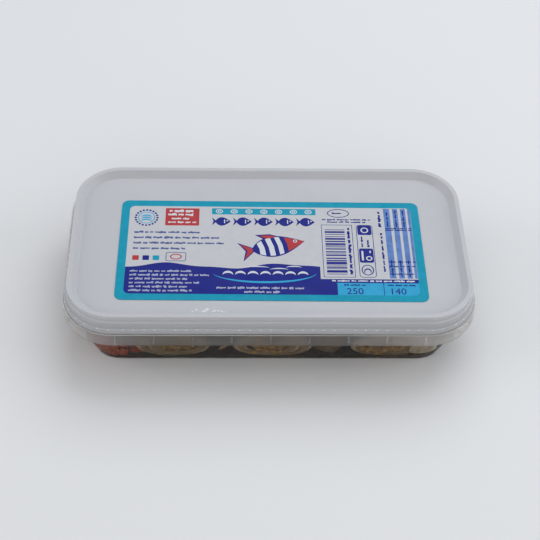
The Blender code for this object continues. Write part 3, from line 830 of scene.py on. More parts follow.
for number, slice_of_carrot in enumerate(CARROTS, start=1):
    rule = random.Random(SEED * 3 + number)
    phase = rule.uniform(0, 2 * math.pi)
    slice_shape = cut_carrot(slice_of_carrot["radius"] * MM, phase)
    round_slice = add_piece(f"carrot_round_{number}", slice_shape, [carrot], 60)
    lean = Vector(slice_of_carrot["axis"]).to_track_quat("Z", "Y").to_matrix().to_4x4()
    round_slice.matrix_world = Matrix.Translation(Vector(slice_of_carrot["at"]) * MM) @ lean
    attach(round_slice, "root")
    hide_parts(f"carrot_slice_{number}")


# The carrot offcuts. Small slivers left over from slicing the same carrot, pushed down between the
# slices and the wall at the left end, and a few of them further in, seen through more brine.
OFFCUT_LEVELS = (2.7 * MM, 6.0 * MM, 9.6 * MM)
OFFCUTS_IN_ROW = 11
# Each row goes round the corner from one turn to another, in degrees, aimed at from the corner's middle.
OFFCUT_TURNS = (176, 274)
OFFCUT_AIM = 1.6
OFFCUT_HALVES = (1.5, 2.1)
OFFCUT_HALF = 0.75 * MM
OFFCUT_GAP = 0.45 * MM
OFFCUT_CORNER = 0.55
# The ones further in: place along the front wall, level and distance behind it, in millimetres.
DEEP_OFFCUTS = ((-53.8, 3.6, 3.0), (-54.4, 8.2, 3.4), (-51.0, 3.0, 4.2))
DEEP_HALVES = (2.2 * MM, 2.4 * MM, 0.9 * MM)


def wall_frame(x, y, level):
    """Where a thing lies on the tub's inside at a level: out along a line, and the wall's own directions."""
    half_x, half_y, radius, _ = slope_ring(level, WALL)
    core = Vector((math.copysign(half_x - radius, x), math.copysign(half_y - radius, y), 0))
    if abs(x) < abs(core.x):
        core.x = x
    if abs(y) < abs(core.y):
        core.y = y
    out = (Vector((x, y, 0)) - core).normalized()
    touch = core + out * radius
    slope = (RIM_HALF_Y - UPSTAND_INSET - FOOT_HALF_Y) / SLOPE_TOP
    face = (out - Vector((0, 0, slope))).normalized()
    side = Vector((-out.y, out.x, 0))
    return Vector((touch.x, touch.y, level)), side, face.cross(side), face


def soft_chip(shape, place, axes, halves, corner, slot_number=0):
    """A small cut piece with softened corners, its half sizes laid out along the given directions."""
    chip = bmesh.ops.create_icosphere(shape, subdivisions=3, radius=1)["verts"]
    for vert in chip:
        boxy = [math.copysign(abs(value) ** corner, value) for value in vert.co]
        steps = (axis * value * half for axis, value, half in zip(axes, boxy, halves))
        vert.co = place + sum(steps, Vector())
    for face in {face for vert in chip for face in vert.link_faces}:
        face.material_index = slot_number


offcut_rule = random.Random(SEED * 4)
offcut_shape = bmesh.new()
first_turn, last_turn = OFFCUT_TURNS
for level in OFFCUT_LEVELS:
    for index in range(OFFCUTS_IN_ROW):
        turn = first_turn + (last_turn - first_turn) * index / (OFFCUTS_IN_ROW - 1)
        turn = math.radians(turn + offcut_rule.uniform(-3, 3))
        aim = Vector((-FOOT_HALF_X + FOOT_RADIUS, -FOOT_HALF_Y + FOOT_RADIUS, 0))
        aim += Vector((math.cos(turn), math.sin(turn), 0)) * FOOT_RADIUS * OFFCUT_AIM
        height = level + offcut_rule.uniform(-0.7, 0.7) * MM
        touch, side, up, face = wall_frame(aim.x, aim.y, height)
        tilt = Matrix.Rotation(offcut_rule.uniform(-0.5, 0.5), 3, face)
        halves = [offcut_rule.uniform(*OFFCUT_HALVES) * MM for _ in range(2)] + [OFFCUT_HALF]
        middle = touch - face * (OFFCUT_HALF + OFFCUT_GAP)
        soft_chip(offcut_shape, middle, (tilt @ side, tilt @ up, face), halves, OFFCUT_CORNER)
for x, level, behind in DEEP_OFFCUTS:
    touch, side, up, face = wall_frame(x * MM, -RIM_HALF_Y, level * MM)
    tilt = Matrix.Rotation(offcut_rule.uniform(-0.5, 0.5), 3, face)
    middle = touch - face * behind * MM
    soft_chip(offcut_shape, middle, (tilt @ side, tilt @ up, face), DEEP_HALVES, OFFCUT_CORNER)
offcuts = add_piece("carrot_offcuts", offcut_shape, [carrot], 60)
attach(offcuts, "root")


# The onion pieces. Layers of raw onion cut into short curved strips, gone glassy in the brine, and
# pushed upright between the rolls and at the right end.

# Each strip: its middle, the radius it is bent to, its height and thickness in millimetres, and the
# angles it sweeps over, is turned to and leans at in degrees.
ONIONS = (
    {"at": (18.6, -17.0, 8.3), "bend": 13, "sweep": 72, "height": 13.0, "thick": 1.6, "turn": 176, "lean": 4},
    {"at": (27.2, -13.5, 8.4), "bend": 14, "sweep": 66, "height": 12.4, "thick": 1.6, "turn": 4, "lean": 4},
    {"at": (18.8, 3.4, 8.9), "bend": 16, "sweep": 58, "height": 13.4, "thick": 1.5, "turn": 182, "lean": 3},
    {"at": (27.2, 7.0, 8.7), "bend": 13, "sweep": 74, "height": 13.0, "thick": 1.6, "turn": 358, "lean": 4},
    {"at": (21.6, 25.0, 8.4), "bend": 14, "sweep": 70, "height": 12.4, "thick": 1.6, "turn": 178, "lean": 6},
    {"at": (72.5, -14.5, 8.3), "bend": 46, "sweep": 24, "height": 12.6, "thick": 1.5, "turn": 1, "lean": 27},
    {"at": (72.5, 7.5, 8.3), "bend": 50, "sweep": 21, "height": 12.6, "thick": 1.5, "turn": 359, "lean": 27},
)
STRIP_STEPS = 40
STRIP_SIDES = 24


def bend_strip(strip):
    """A strip bent round an upright axis, wavy along its edges and thinner at its ends."""
    bend = strip["bend"] * MM
    shape = bmesh.new()
    loops = []
    for step in range(STRIP_STEPS + 1):
        share = step / STRIP_STEPS
        angle = math.radians(strip["sweep"]) * (share - 0.5)
        swell = math.sin(math.pi * share)
        tuck = min(1.0, 6 * share, 6 * (1 - share)) ** 0.5
        half = strip["thick"] * MM / 2 * (0.45 + 0.55 * swell) * (0.25 + 0.75 * tuck)
        tall = strip["height"] * MM / 2 * (0.72 + 0.28 * swell) * (0.8 + 0.2 * tuck)
        rise = strip["height"] * MM * 0.05 * math.sin(2 * math.pi * share)
        loop = []
        for side in range(STRIP_SIDES):
            turn = 2 * math.pi * side / STRIP_SIDES
            out = math.copysign(abs(math.cos(turn)) ** 0.5, math.cos(turn))
            up = math.copysign(abs(math.sin(turn)) ** 0.6, math.sin(turn))
            reach = bend + out * half * (1 + 0.12 * math.sin(9 * share + 5 * up))
            x = reach * math.cos(angle) - bend
            loop.append(shape.verts.new((x, reach * math.sin(angle), up * tall * 0.98 + rise)))
        loops.append(loop)
    join_loops(shape, loops)
    shape.faces.new(loops[0])
    shape.faces.new(loops[-1])
    lean = Matrix.Rotation(math.radians(strip["lean"]), 4, "Y")
    turn_round = Matrix.Rotation(math.radians(strip["turn"]), 4, "Z")
    place = Matrix.Translation(Vector(strip["at"]) * MM) @ turn_round @ lean
    bmesh.ops.transform(shape, matrix=place, verts=shape.verts)
    return shape


onion, onion_shader = moist_food("glassy_onion", (0.60, 0.56, 0.42), 0.28)
onion_shader.inputs["Transmission Weight"].default_value = 0.15
onion_shader.inputs["IOR"].default_value = 1.36
onion_veins = mottle(onion, 420, 3, (1, 1, 0.12))
shade_between(onion, onion_shader, onion_veins, [(0.35, (0.52, 0.46, 0.36)), (0.62, (0.74, 0.68, 0.57))])
raise_surface(onion, onion_shader, [(onion_veins, 0.1 * MM)])
for number, strip in enumerate(ONIONS, start=1):
    layer = add_piece(f"onion_strip_{number}", bend_strip(strip), [onion], 60)
    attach(layer, "root")
    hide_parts(f"onion_piece_{number}")


# The onion flakes. Thin skins of the same onion that have come loose from the strips and the rolls,
# and lie in the brine against the long walls.

# Each flake: place along the wall, side of the tub, level, half length, half height, tilt in degrees
# and how far behind the wall it lies.
FLAKES = (
    (62.4, -1, 7.4, 5.6, 4.6, 6, 0.5),
    (-18.0, -1, 7.0, 0.9, 4.4, -30, 3.0),
    (-18.0, 1, 7.4, 1.2, 4.6, 26, 1.4),
    (24.0, 1, 6.4, 4.2, 1.6, -14, 1.0),
    (62.0, 1, 7.2, 5.4, 4.4, 12, 0.45),
    (-52.0, 1, 6.4, 3.2, 1.6, 20, 0.8),
    (20.0, 1, 9.0, 1.8, 2.8, 30, 1.2),
)
FLAKE_HALF = 0.35 * MM
FLAKE_CORNER = 0.75

flake_shape = bmesh.new()
for along, side_of_tub, level, half_long, half_tall, degrees, behind in FLAKES:
    touch, side, up, face = wall_frame(along * MM, side_of_tub * RIM_HALF_Y, level * MM)
    tilt = Matrix.Rotation(math.radians(degrees), 3, face)
    middle = touch - face * (FLAKE_HALF + behind * MM)
    halves = (half_long * MM, half_tall * MM, FLAKE_HALF)
    soft_chip(flake_shape, middle, (tilt @ side, tilt @ up, face), halves, FLAKE_CORNER)
flakes_of_onion = add_piece("onion_flakes", flake_shape, [onion], 60)
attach(flakes_of_onion, "root")


# The loose fillet end. A tail end of herring pushed in at the front between two rolls, its skin to
# the wall.
FILLET_END = {
    "at": (23.2, -33.6, 9.9), "bend": 16, "sweep": 44, "height": 16.6, "thick": 4.2, "turn": 269, "lean": 17,
}
tail_end = add_piece("loose_fillet_end", bend_strip(FILLET_END), [skin], 60)
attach(tail_end, "root")
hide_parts("fillet_end_1")


# The brine. Vinegar, water, salt and sugar, clouded brown by the fish, poured in until it almost
# covers the rolls. It reaches a hair's breadth into the wall, so that no air shows between them.
BRINE_LEVEL = 22.6 * MM
BRINE_BITE = 0.1 * MM
MENISCUS = 0.5 * MM

brine_wall = WALL - BRINE_BITE
brine_inset = UPSTAND_INSET + brine_wall
brine_section = round_off([
    (slope_ring(brine_wall, FLOOR_INSET), 0),
    (slope_ring(brine_wall, brine_wall), FLOOR_BEND),
    (inset_ring(brine_inset, SLOPE_TOP), SHOULDER_BEND),
    (inset_ring(brine_inset, BRINE_LEVEL + MENISCUS), 0.02 * MM),
    (inset_ring(brine_inset + 0.9 * MM, BRINE_LEVEL), 0.5 * MM),
    (inset_ring(brine_inset + FLOOR_INSET, BRINE_LEVEL), 0),
])
brine_liquid, brine_shader = new_material("brine", (1.0, 0.97, 0.9), 0.0)
brine_shader.inputs["Transmission Weight"].default_value = 1.0
brine_shader.inputs["IOR"].default_value = 1.2
murk = add_node(brine_liquid, "ShaderNodeVolumeAbsorption", {
    "Color": (0.80, 0.64, 0.42, 1),
    "Density": 170.0,
})
brine_output = brine_liquid.node_tree.nodes["Material Output"]
brine_liquid.node_tree.links.new(murk.outputs["Volume"], brine_output.inputs["Volume"])
raise_surface(brine_liquid, brine_shader, [(mottle(brine_liquid, 40, 1), 0.05 * MM)])
brine = add_piece("brine", loft_rings(brine_section), [brine_liquid], 40)
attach(brine, "root")


# The lid. Milky white polypropylene, moulded in one shot and pressed over the upstand: a sunk panel,
# a raised bead round it, and a side stepped out at two ledges, with a plain lower edge.
CREST_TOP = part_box("lid")[1].z
PANEL_TOP = 29.3 * MM
LID_WALL = 0.75 * MM
UPPER_LEDGE = 28.85 * MM
LOWER_LEDGE = 25.8 * MM
LEDGE_FALL = 0.25 * MM
LID_FOOT = FLANGE_TOP + 0.06 * MM
FOOT_LIFT = 0.3 * MM
BOW_LENGTH = 26 * MM
BOW_WIDTH = 60 * MM
SIDE_INSET = 2.75 * MM
SIDE_SLOT = 1
PANEL_INSET = 20 * MM
# How white the plastic looks at each level in millimetres: even on top, and on the side darker with painted
# shade on the skirts and lighter at the two ledges with painted highlights.
TOP_TONES = ((23.5, 0.72), (31.9, 0.72))
SIDE_TONES = (
    (23.5, 0.54), (25.5, 0.56), (25.75, 0.65), (26.1, 0.68), (26.4, 0.55), (28.5, 0.58),
    (28.85, 0.74), (29.2, 0.77), (29.5, 0.65), (31.2, 0.68), (31.9, 0.72),
)

lid_section = round_off([
    (inset_ring(PANEL_INSET, PANEL_TOP), 0),
    (inset_ring(8.8 * MM, PANEL_TOP), 4.2 * MM),
    (inset_ring(3.6 * MM, CREST_TOP), 0.8 * MM),
    (inset_ring(2.6 * MM, CREST_TOP), 0.5 * MM),
    (inset_ring(2.45 * MM, UPPER_LEDGE + LEDGE_FALL), 0.3 * MM),
    (inset_ring(1.95 * MM, UPPER_LEDGE), 0.15 * MM),
    (inset_ring(1.45 * MM, LOWER_LEDGE + LEDGE_FALL), 0.3 * MM),
    (inset_ring(0.95 * MM, LOWER_LEDGE), 0.15 * MM),
    (inset_ring(0.6 * MM, LID_FOOT), 0.2 * MM),
    (inset_ring(1.35 * MM, LID_FOOT), 0.2 * MM),
    (inset_ring(1.7 * MM, LOWER_LEDGE - LID_WALL), 0.15 * MM),
    (inset_ring(2.2 * MM, LOWER_LEDGE + LEDGE_FALL - LID_WALL), 0.1 * MM),
    (inset_ring(2.7 * MM, UPPER_LEDGE - LID_WALL), 0.15 * MM),
    (inset_ring(3.2 * MM, UPPER_LEDGE + LEDGE_FALL - LID_WALL), 0.1 * MM),
    (inset_ring(3.35 * MM, CREST_TOP - LID_WALL), 0.2 * MM),
    (inset_ring(3.8 * MM, CREST_TOP - LID_WALL), 0.2 * MM),
    (inset_ring(8.9 * MM, PANEL_TOP - LID_WALL), 4.1 * MM),
    (inset_ring(PANEL_INSET, PANEL_TOP - LID_WALL), 0),
])
lid_shape = loft_rings(lid_section)
# The lower edge is slightly bowed, so it stands off the flange in places.
for vert in lid_shape.verts:
    nearness = max(0.0, 1 - (vert.co.z - LID_FOOT) / (LOWER_LEDGE - LID_FOOT))
    if nearness > 0:
        bow = math.sin(vert.co.x / BOW_LENGTH + 1.2) * math.cos(vert.co.y / BOW_WIDTH)
        vert.co.z += FOOT_LIFT * max(0.0, bow) ** 2 * min(1.0, nearness)


def milky_polypropylene(name, tones):
    """Milky plastic with a satin skin, its tone set by the level above the table: on the lid's side that
    paints shade on the skirts and highlights at the ledges.
    """
    plastic, shader = new_material(name, (0.87, 0.885, 0.925), 0.42)
    shader.inputs["Transmission Weight"].default_value = 0.08
    shader.inputs["Subsurface Weight"].default_value = 0.5
    shader.inputs["Subsurface Radius"].default_value = (1.0, 0.9, 0.8)
    shader.inputs["Subsurface Scale"].default_value = 0.5 * MM
    shader.inputs["IOR"].default_value = 1.49
    shader.inputs["Specular IOR Level"].default_value = 0.4
    colour = shade_between(plastic, shader, mottle(plastic, 9, 3), [
        (0.3, (0.87, 0.885, 0.925)),
        (0.7, (0.90, 0.915, 0.955)),
    ])
    low, high = tones[0][0], tones[-1][0]
    place = add_node(plastic, "ShaderNodeTexCoord", {}).outputs["Object"]
    level = add_node(plastic, "ShaderNodeSeparateXYZ", {"Vector": place}).outputs["Z"]
    spread = {"Value": level, "From Min": low * MM, "From Max": high * MM}
    share = add_node(plastic, "ShaderNodeMapRange", spread).outputs["Result"]
    whiteness = shade_between(plastic, shader, share, [
        ((height - low) / (high - low), (white, white, white)) for height, white in tones
    ])
    toned = add_node(plastic, "ShaderNodeVectorMath", {0: colour, 1: whiteness}, operation="MULTIPLY")
    plastic.node_tree.links.new(toned.outputs["Vector"], shader.inputs["Base Color"])
    raise_surface(plastic, shader, [
        (mottle(plastic, 35, 1), 0.05 * MM),
        (mottle(plastic, 260, 3), 0.02 * MM),
        (mottle(plastic, 2400, 1), 0.004 * MM),
    ])
    roughen(plastic, shader, mottle(plastic, 45, 4), 0.36, 0.5)
    return plastic


# The side faces take their own copy of the plastic, with painted shade and painted highlights.
for face in lid_shape.faces:
    if inset_of(face.calc_center_median()) < SIDE_INSET:
        face.material_index = SIDE_SLOT
milky_top = milky_polypropylene("milky_polypropylene_top", TOP_TONES)
milky_side = milky_polypropylene("milky_polypropylene_shaded_side", SIDE_TONES)
lid = add_piece("press_fit_lid", lid_shape, [milky_top, milky_side], 35)
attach(lid, "root")
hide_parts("lid")


# The lid's pips. A row of tiny bumps moulded along the edge of the lid's lower ledge, coloured whiter and
# glossier than the lid's plastic so that they show as painted glints one by one.
PIP_INSET = 0.98 * MM
PIP_PITCH = 5.0 * MM
PIP_HALVES = (0.5 * MM, 0.17 * MM, 0.15 * MM)

pip_shape = bmesh.new()
ledge_x, ledge_y, ledge_radius, _ = inset_ring(PIP_INSET, LOWER_LEDGE)
ledge_points = outline_points(ledge_x, ledge_y, ledge_radius)
since_pip = 0.0
for near, far in zip(ledge_points, ledge_points[1:] + ledge_points[:1]):
    since_pip += (far - near).length
    if since_pip >= PIP_PITCH:
        since_pip -= PIP_PITCH
        side = (far - near).normalized().to_3d()
        axes = (side, side.cross(Vector((0, 0, 1))), Vector((0, 0, 1)))
        soft_chip(pip_shape, Vector((near.x, near.y, LOWER_LEDGE)), axes, PIP_HALVES, 1.0)
pip_plastic, pip_shader = new_material("lid_pips_painted_glints", (0.93, 0.94, 0.96), 0.12)
raise_surface(pip_plastic, pip_shader, [(mottle(pip_plastic, 900), 0.01 * MM)])
pips = add_piece("lid_pips_painted_glints", pip_shape, [pip_plastic], 60)
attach(pips, "root")


# The dried splashes. A few specks of brine that spilled when the tub was filled, and dried white on
# the lid's panel near its front edge.
SPLASH_MIDDLE = (-24.5 * MM, -36.9 * MM)
SPLASHES = 32
SPLASH_SPREAD = 4.2
SPLASH_RADII = (0.12, 0.34)

splash_rule = random.Random(SEED * 7)
splash_shape = bmesh.new()
bpy.context.view_layer.update()
for _ in range(SPLASHES):
    x = SPLASH_MIDDLE[0] + splash_rule.gauss(0, SPLASH_SPREAD) * MM
    y = SPLASH_MIDDLE[1] + splash_rule.uniform(-0.8, 1.0) * MM
    radius = splash_rule.uniform(*SPLASH_RADII) * MM
    size = Matrix.Diagonal((radius * splash_rule.uniform(1, 2.2), radius, 0.08 * MM, 1))
    turn = Matrix.Rotation(splash_rule.uniform(-0.7, 0.7), 4, "Z")
    on_lid = lid.ray_cast((x, y, 2 * CREST_TOP), (0, 0, -1))[1]
    place = Matrix.Translation(on_lid) @ turn @ size
    bmesh.ops.create_icosphere(splash_shape, subdivisions=3, radius=1, matrix=place)
dried_brine, dried_shader = new_material("dried_brine", (0.86, 0.88, 0.90), 0.3)
raise_surface(dried_brine, dried_shader, [(mottle(dried_brine, 3000), 0.03 * MM)])
splashes = add_piece("dried_splashes", splash_shape, [dried_brine], 60)
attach(splashes, "root")


# The label film. A white plastic film with round corners, stuck to the panel a little askew, with
# faint creases from the applicator. The print below lies on it, and is laid out in millimetres from
# the label's middle.
LABEL_HALF_U = 61.9
LABEL_HALF_V = 28.1
LABEL_RADIUS = 3.0
LABEL_CENTRE = (0.8 * MM, -3.8 * MM)
LABEL_TURN = math.radians(-0.4)
FILM_LOW = PANEL_TOP + 0.02 * MM
FILM_TOP = FILM_LOW + 0.13 * MM
INK_STEP = 0.012 * MM
label_place = Matrix.Translation((*LABEL_CENTRE, 0)) @ Matrix.Rotation(LABEL_TURN, 4, "Z")


def frame_points(half_u, half_v, radius, centre=(0, 0), steps=7):
    """Points round a round-cornered box on the label, in millimetres from the label's middle."""
    points = []
    for quarter, (side_u, side_v) in enumerate(((1, 1), (-1, 1), (-1, -1), (1, -1))):
        for step in range(steps + 1):
            angle = math.radians(90 * (quarter + step / steps))
            u = centre[0] + side_u * (half_u - radius) + radius * math.cos(angle)
            v = centre[1] + side_v * (half_v - radius) + radius * math.sin(angle)
            points.append((u, v))
    return points


def lay_plate(shape, points, low, high, slot_number=0):
    """A thin flat plate over an outline, cut into triangles so that it can have any form."""
    lower = [shape.verts.new((u * MM, v * MM, low)) for u, v in points]
    upper = [shape.verts.new((u * MM, v * MM, high)) for u, v in points]
    for index in range(len(points)):
        following = (index + 1) % len(points)
        shape.faces.new((lower[index], lower[following], upper[following], upper[index]))
    caps = [shape.faces.new(lower[::-1]), shape.faces.new(upper)]
    for cap in caps:
        cap.normal_update()
    filled = bmesh.ops.triangulate(shape, faces=caps)["faces"]
    for face in filled:
        face.material_index = slot_number


def add_print(name, shape, material):
    """A printed or film layer, set down on the panel where the label lies."""
    layer = add_piece(name, shape, [material], 30)
    layer.matrix_world = label_place
    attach(layer, "root")
    return layer


def print_ink(name, colour, variation=0.05):
    """Ink on the film: a mottled colour under the satin varnish, with the film's creases."""
    ink, ink_shader = new_material(name, colour, 0.45)
    ink_shader.inputs["Specular IOR Level"].default_value = 0.1
    darker = [channel * (1 - variation) for channel in colour]
    lighter = [min(1.0, channel * (1 + variation)) for channel in colour]
    shade_between(ink, ink_shader, mottle(ink, 330, 4), [(0.35, darker), (0.65, lighter)])
    raise_surface(ink, ink_shader, [
        (mottle(ink, 55, 2, (0.35, 1.6, 1)), 0.18 * MM),
        (mottle(ink, 160, 3, (0.5, 1.3, 1)), 0.04 * MM),
        (mottle(ink, 1500), 0.006 * MM),
    ])
    roughen(ink, ink_shader, mottle(ink, 70, 3), 0.38, 0.54)
    return ink


white_film = print_ink("white_film", (0.62, 0.63, 0.66), 0.02)
film_shape = bmesh.new()
lay_plate(film_shape, frame_points(LABEL_HALF_U, LABEL_HALF_V, LABEL_RADIUS), FILM_LOW, FILM_TOP)
film = add_print("label_film", film_shape, white_film)
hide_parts("label")


# The ground colours. A teal border frames the label, and a navy field with a wavy upper edge fills
# its lower part. They are laid down first, in one flat pass each.
BORDER_HALF_U = 58.5
BORDER_HALF_V = 24.8
BORDER_RADIUS = 2.2
WAVE_END = 19.5
WAVE_LEVEL = -9.4
STRIPE_LOW = -18.2
STRIPE_HIGH = -16.2
WEIGHTS_LEFT = 26.0


def ink_top(layer):
    """The top of an ink layer: each pass lies a little above the one before."""
    return FILM_TOP + layer * INK_STEP


def lay_ink(shape, points, layer):
    """A patch of ink over an outline."""
    lay_plate(shape, points, FILM_LOW, ink_top(layer))


def lay_ring(shape, outer, inner, layer):
    """A flat frame of ink between two outlines with the same number of points."""
    high = ink_top(layer)
    section = ((outer, FILM_LOW), (outer, high), (inner, high), (inner, FILM_LOW), (outer, FILM_LOW))
    corners = []
    for points, level in section:
        corners.append([shape.verts.new((u * MM, v * MM, level)) for u, v in points])
    join_loops(shape, corners)
    bmesh.ops.remove_doubles(shape, verts=corners[0] + corners[-1], dist=INK_STEP / 10)


def wave_height(u):
    """The upper edge of the navy field, a slow swell with a smaller one on it."""
    return WAVE_LEVEL + 1.3 * math.sin(u / 7.4 + 0.9) + 0.4 * math.sin(u / 3.3 + 2.0)


teal = print_ink("teal_ink", (0.010, 0.34, 0.50))
border_shape = bmesh.new()
border_outer = frame_points(LABEL_HALF_U, LABEL_HALF_V, LABEL_RADIUS)
border_inner = frame_points(BORDER_HALF_U, BORDER_HALF_V, BORDER_RADIUS)
lay_ring(border_shape, border_outer, border_inner, 2.6)
add_print("teal_border", border_shape, teal)

navy = print_ink("navy_ink", (0.016, 0.024, 0.25))
wave_edge = [(u / 2, wave_height(u / 2)) for u in range(int(2 * WAVE_END), int(-2 * BORDER_HALF_U) - 1, -1)]
field_points = [(-BORDER_HALF_U, -BORDER_HALF_V), (WEIGHTS_LEFT, -BORDER_HALF_V), (WEIGHTS_LEFT, STRIPE_LOW)]
field_points += [(BORDER_HALF_U, STRIPE_LOW), (BORDER_HALF_U, STRIPE_HIGH), (WAVE_END, STRIPE_HIGH)]
field_shape = bmesh.new()
lay_ink(field_shape, field_points + wave_edge, 2)
add_print("navy_field", field_shape, navy)


# The head of the label. A teal strip printed with a row of white onion rings, and under it five small
# navy fish that swim to the right.
HEAD_STRIP = (-24.4, 18.8, 20.2, 23.8)
ONION_RINGS = 7
SMALL_FISH = 5
SMALL_FISH_FROM = (-20.4, 16.0)
SMALL_FISH_PITCH = 8.7
SMALL_FISH_LENGTH = 7.8
SMALL_FISH_HEIGHT = 5.0
# The share of a fish's length that its tail takes.
TAIL_SHARE = 0.2


def box_points(left, right, low, high, radius=0.3):
    """Points round a box given by its sides."""
    middle = ((left + right) / 2, (low + high) / 2)
    return frame_points((right - left) / 2, (high - low) / 2, radius, middle, 3)


def oval_points(half_u, half_v, centre, steps=32):
    """Points round an oval."""
    turns = [2 * math.pi * step / steps for step in range(steps)]
    return [(centre[0] + half_u * math.cos(turn), centre[1] + half_v * math.sin(turn)) for turn in turns]


def fish_edge(share):
    """Half the height of a fish's body at a share of its length from the tail root to the nose."""
    return 0.1 * (1 - share) + 0.44 * math.sin(math.pi * share**0.8)


def fish_points(length, height, centre, tilt, shrink=1.0):
    """The outline of a fish: a forked tail and a pointed oval body, tilted about its middle."""
    shares = [step / 20 for step in range(21)]
    upper = [(TAIL_SHARE + (1 - TAIL_SHARE) * share, fish_edge(share)) for share in shares]
    outline = [(0.08, 0), (0, 0.46)] + upper + [(x, -y) for x, y in upper[-2::-1]] + [(0, -0.46)]
    return place_points(outline, length, height, centre, tilt, shrink)


def place_points(outline, length, height, centre, tilt, shrink=1.0):
    """An outline drawn in shares of a box, set down on the label at its real size."""
    placed = []
    for x, y in outline:
        along = (x - 0.5) * length * shrink
        up = y * height * shrink
        u = centre[0] + along * math.cos(tilt) - up * math.sin(tilt)
        v = centre[1] + along * math.sin(tilt) + up * math.cos(tilt)
        placed.append((u, v))
    return placed


strip_shape = bmesh.new()
lay_ink(strip_shape, box_points(*HEAD_STRIP), 1)
add_print("head_strip", strip_shape, teal)

white_ink = print_ink("white_ink", (0.72, 0.75, 0.80), 0.02)
rings_shape = bmesh.new()
left, right, low, high = HEAD_STRIP
for index in range(ONION_RINGS):
    centre = (left + (right - left) * (index + 0.5) / ONION_RINGS, (low + high) / 2)
    lay_ring(rings_shape, oval_points(1.5, 1.25, centre), oval_points(1.1, 0.85, centre), 3)
    lay_ring(rings_shape, oval_points(0.65, 0.55, centre), oval_points(0.35, 0.25, centre), 3)
add_print("onion_rings", rings_shape, white_ink)

shoal_shape = bmesh.new()
shoal_marks = bmesh.new()
for index in range(SMALL_FISH):
    centre = (SMALL_FISH_FROM[0] + index * SMALL_FISH_PITCH, SMALL_FISH_FROM[1])
    lay_ink(shoal_shape, fish_points(SMALL_FISH_LENGTH, SMALL_FISH_HEIGHT, centre, 0), 2)
    lay_ink(shoal_marks, oval_points(0.36, 0.36, (centre[0] + 2.4, centre[1] + 0.4), 12), 4)
    gill = box_points(centre[0] + 1.1, centre[0] + 1.5, centre[1] - 1.1, centre[1] + 1.1, 0.1)
    lay_ink(shoal_marks, gill, 4)
add_print("small_fish", shoal_shape, navy)
add_print("small_fish_marks", shoal_marks, white_ink)


# The round stamp and the red panel at the label's upper left corner: a ring of navy beads round
# three light blue waves, and a red box with lines of small print.
STAMP_CENTRE = (-51.4, 17.9)
STAMP_BEADS = 20
STAMP_RADIUS = 4.5
STAMP_WAVES = (1.2, 0.0, -1.2)
RED_PANEL = (-43.6, -29.6, 13.4, 23.6)
# Lines on the red panel: level, how far in they start and how tall they are.
RED_LINES = ((22.0, 1.6, 1.0), (19.8, 1.0, 1.0), (17.4, 2.6, 0.7), (15.3, 1.2, 0.7))


def arc_points(centre, radius_u, radius_v, start, end, thick, steps=20):
    """A band along an arc between two angles in degrees, thinned to nothing at both ends."""
    outer = []
    inner = []
    for step in range(steps + 1):
        share = step / steps
        angle = math.radians(start + (end - start) * share)
        half = thick / 2 * (0.12 + math.sin(math.pi * share))
        for side, sign in ((outer, 1), (inner, -1)):
            u = centre[0] + (radius_u + sign * half) * math.cos(angle)
            side.append((u, centre[1] + (radius_v + sign * half) * math.sin(angle)))
    return outer + inner[::-1]


def lay_words(shape, start, level, length, rule, layer, sideways=False, tall=0.6):
    """A line of small print, shown only as a row of uneven bars as long as words."""
    place = start
    while place < start + length - 1:
        end = min(place + rule.uniform(1.2, 5.0), start + length)
        steps = max(2, round((end - place) / (tall * 0.8)))
        upper = []
        lower = []
        for step in range(steps + 1):
            along = place + (end - place) * step / steps
            upper.append((along, level + tall * rule.choice((0.35, 0.5, 0.5, 0.95))))
            lower.append((along, level - tall * rule.choice((0.35, 0.5, 0.5, 0.8))))
        points = lower + upper[::-1]
        if sideways:
            points = [(v, u) for u, v in reversed(points)]
        lay_ink(shape, points, layer)
        place = end + 0.7


light_blue = print_ink("light_blue_ink", (0.040, 0.40, 0.70))
red = print_ink("red_ink", (0.50, 0.055, 0.06))
print_rule = random.Random(SEED * 11)
bead_shape = bmesh.new()
for index in range(STAMP_BEADS):
    angle = 2 * math.pi * index / STAMP_BEADS
    across = STAMP_RADIUS * math.cos(angle)
    along = STAMP_RADIUS * math.sin(angle)
    centre = (STAMP_CENTRE[0] + across, STAMP_CENTRE[1] + along)
    lay_ink(bead_shape, oval_points(0.5, 0.5, centre, 10), 2)
add_print("stamp_beads", bead_shape, navy)
stamp_shape = bmesh.new()
lay_ring(stamp_shape, oval_points(3.5, 3.5, STAMP_CENTRE), oval_points(3.15, 3.15, STAMP_CENTRE), 2)
for rise in STAMP_WAVES:
    crest = (STAMP_CENTRE[0], STAMP_CENTRE[1] + rise - 1.4)
    lay_ink(stamp_shape, arc_points(crest, 2.4, 1.6, 20, 160, 0.7), 3 + rise / 3)
add_print("stamp_waves", stamp_shape, light_blue)
red_shape = bmesh.new()
lay_ink(red_shape, box_points(*RED_PANEL), 1)
add_print("red_panel", red_shape, red)
red_words = bmesh.new()
for level, inset, tall in RED_LINES:
    length = RED_PANEL[1] - RED_PANEL[0] - 2 * inset
    lay_words(red_words, RED_PANEL[0] + inset, level, length, print_rule, 3, tall=tall)
add_print("red_panel_lines", red_words, white_ink)


# The small print at the left. Four navy lines on white, three coloured squares and a little framed
# ring under them, and six white lines on the navy field.

# The level and the length of each line. The two at the foot of the picture also say where they start,
# between the level and the length.
NAVY_LINES = ((9.4, 27), (6.3, 36), (3.2, 38), (0.1, 21))
WHITE_LINES = ((-12.6, 26), (-14.7, 33), (-16.8, 23), (-18.9, 28), (-21.0, 24), (-23.1, 25))
FOOT_LINES = ((-21.4, -22, 36), (-23.5, -11, 15))
NAVY_LINES_LEFT = -56
WHITE_LINES_LEFT = -56.6
SQUARE = 2.6
SQUARES_LOW = -6.5
RED_SQUARE_LEFT = -56.0
NAVY_SQUARE_LEFT = -51.9
TEAL_SQUARE_LEFT = -47.8
ICON_CENTRE = (-38.5, -4.5)


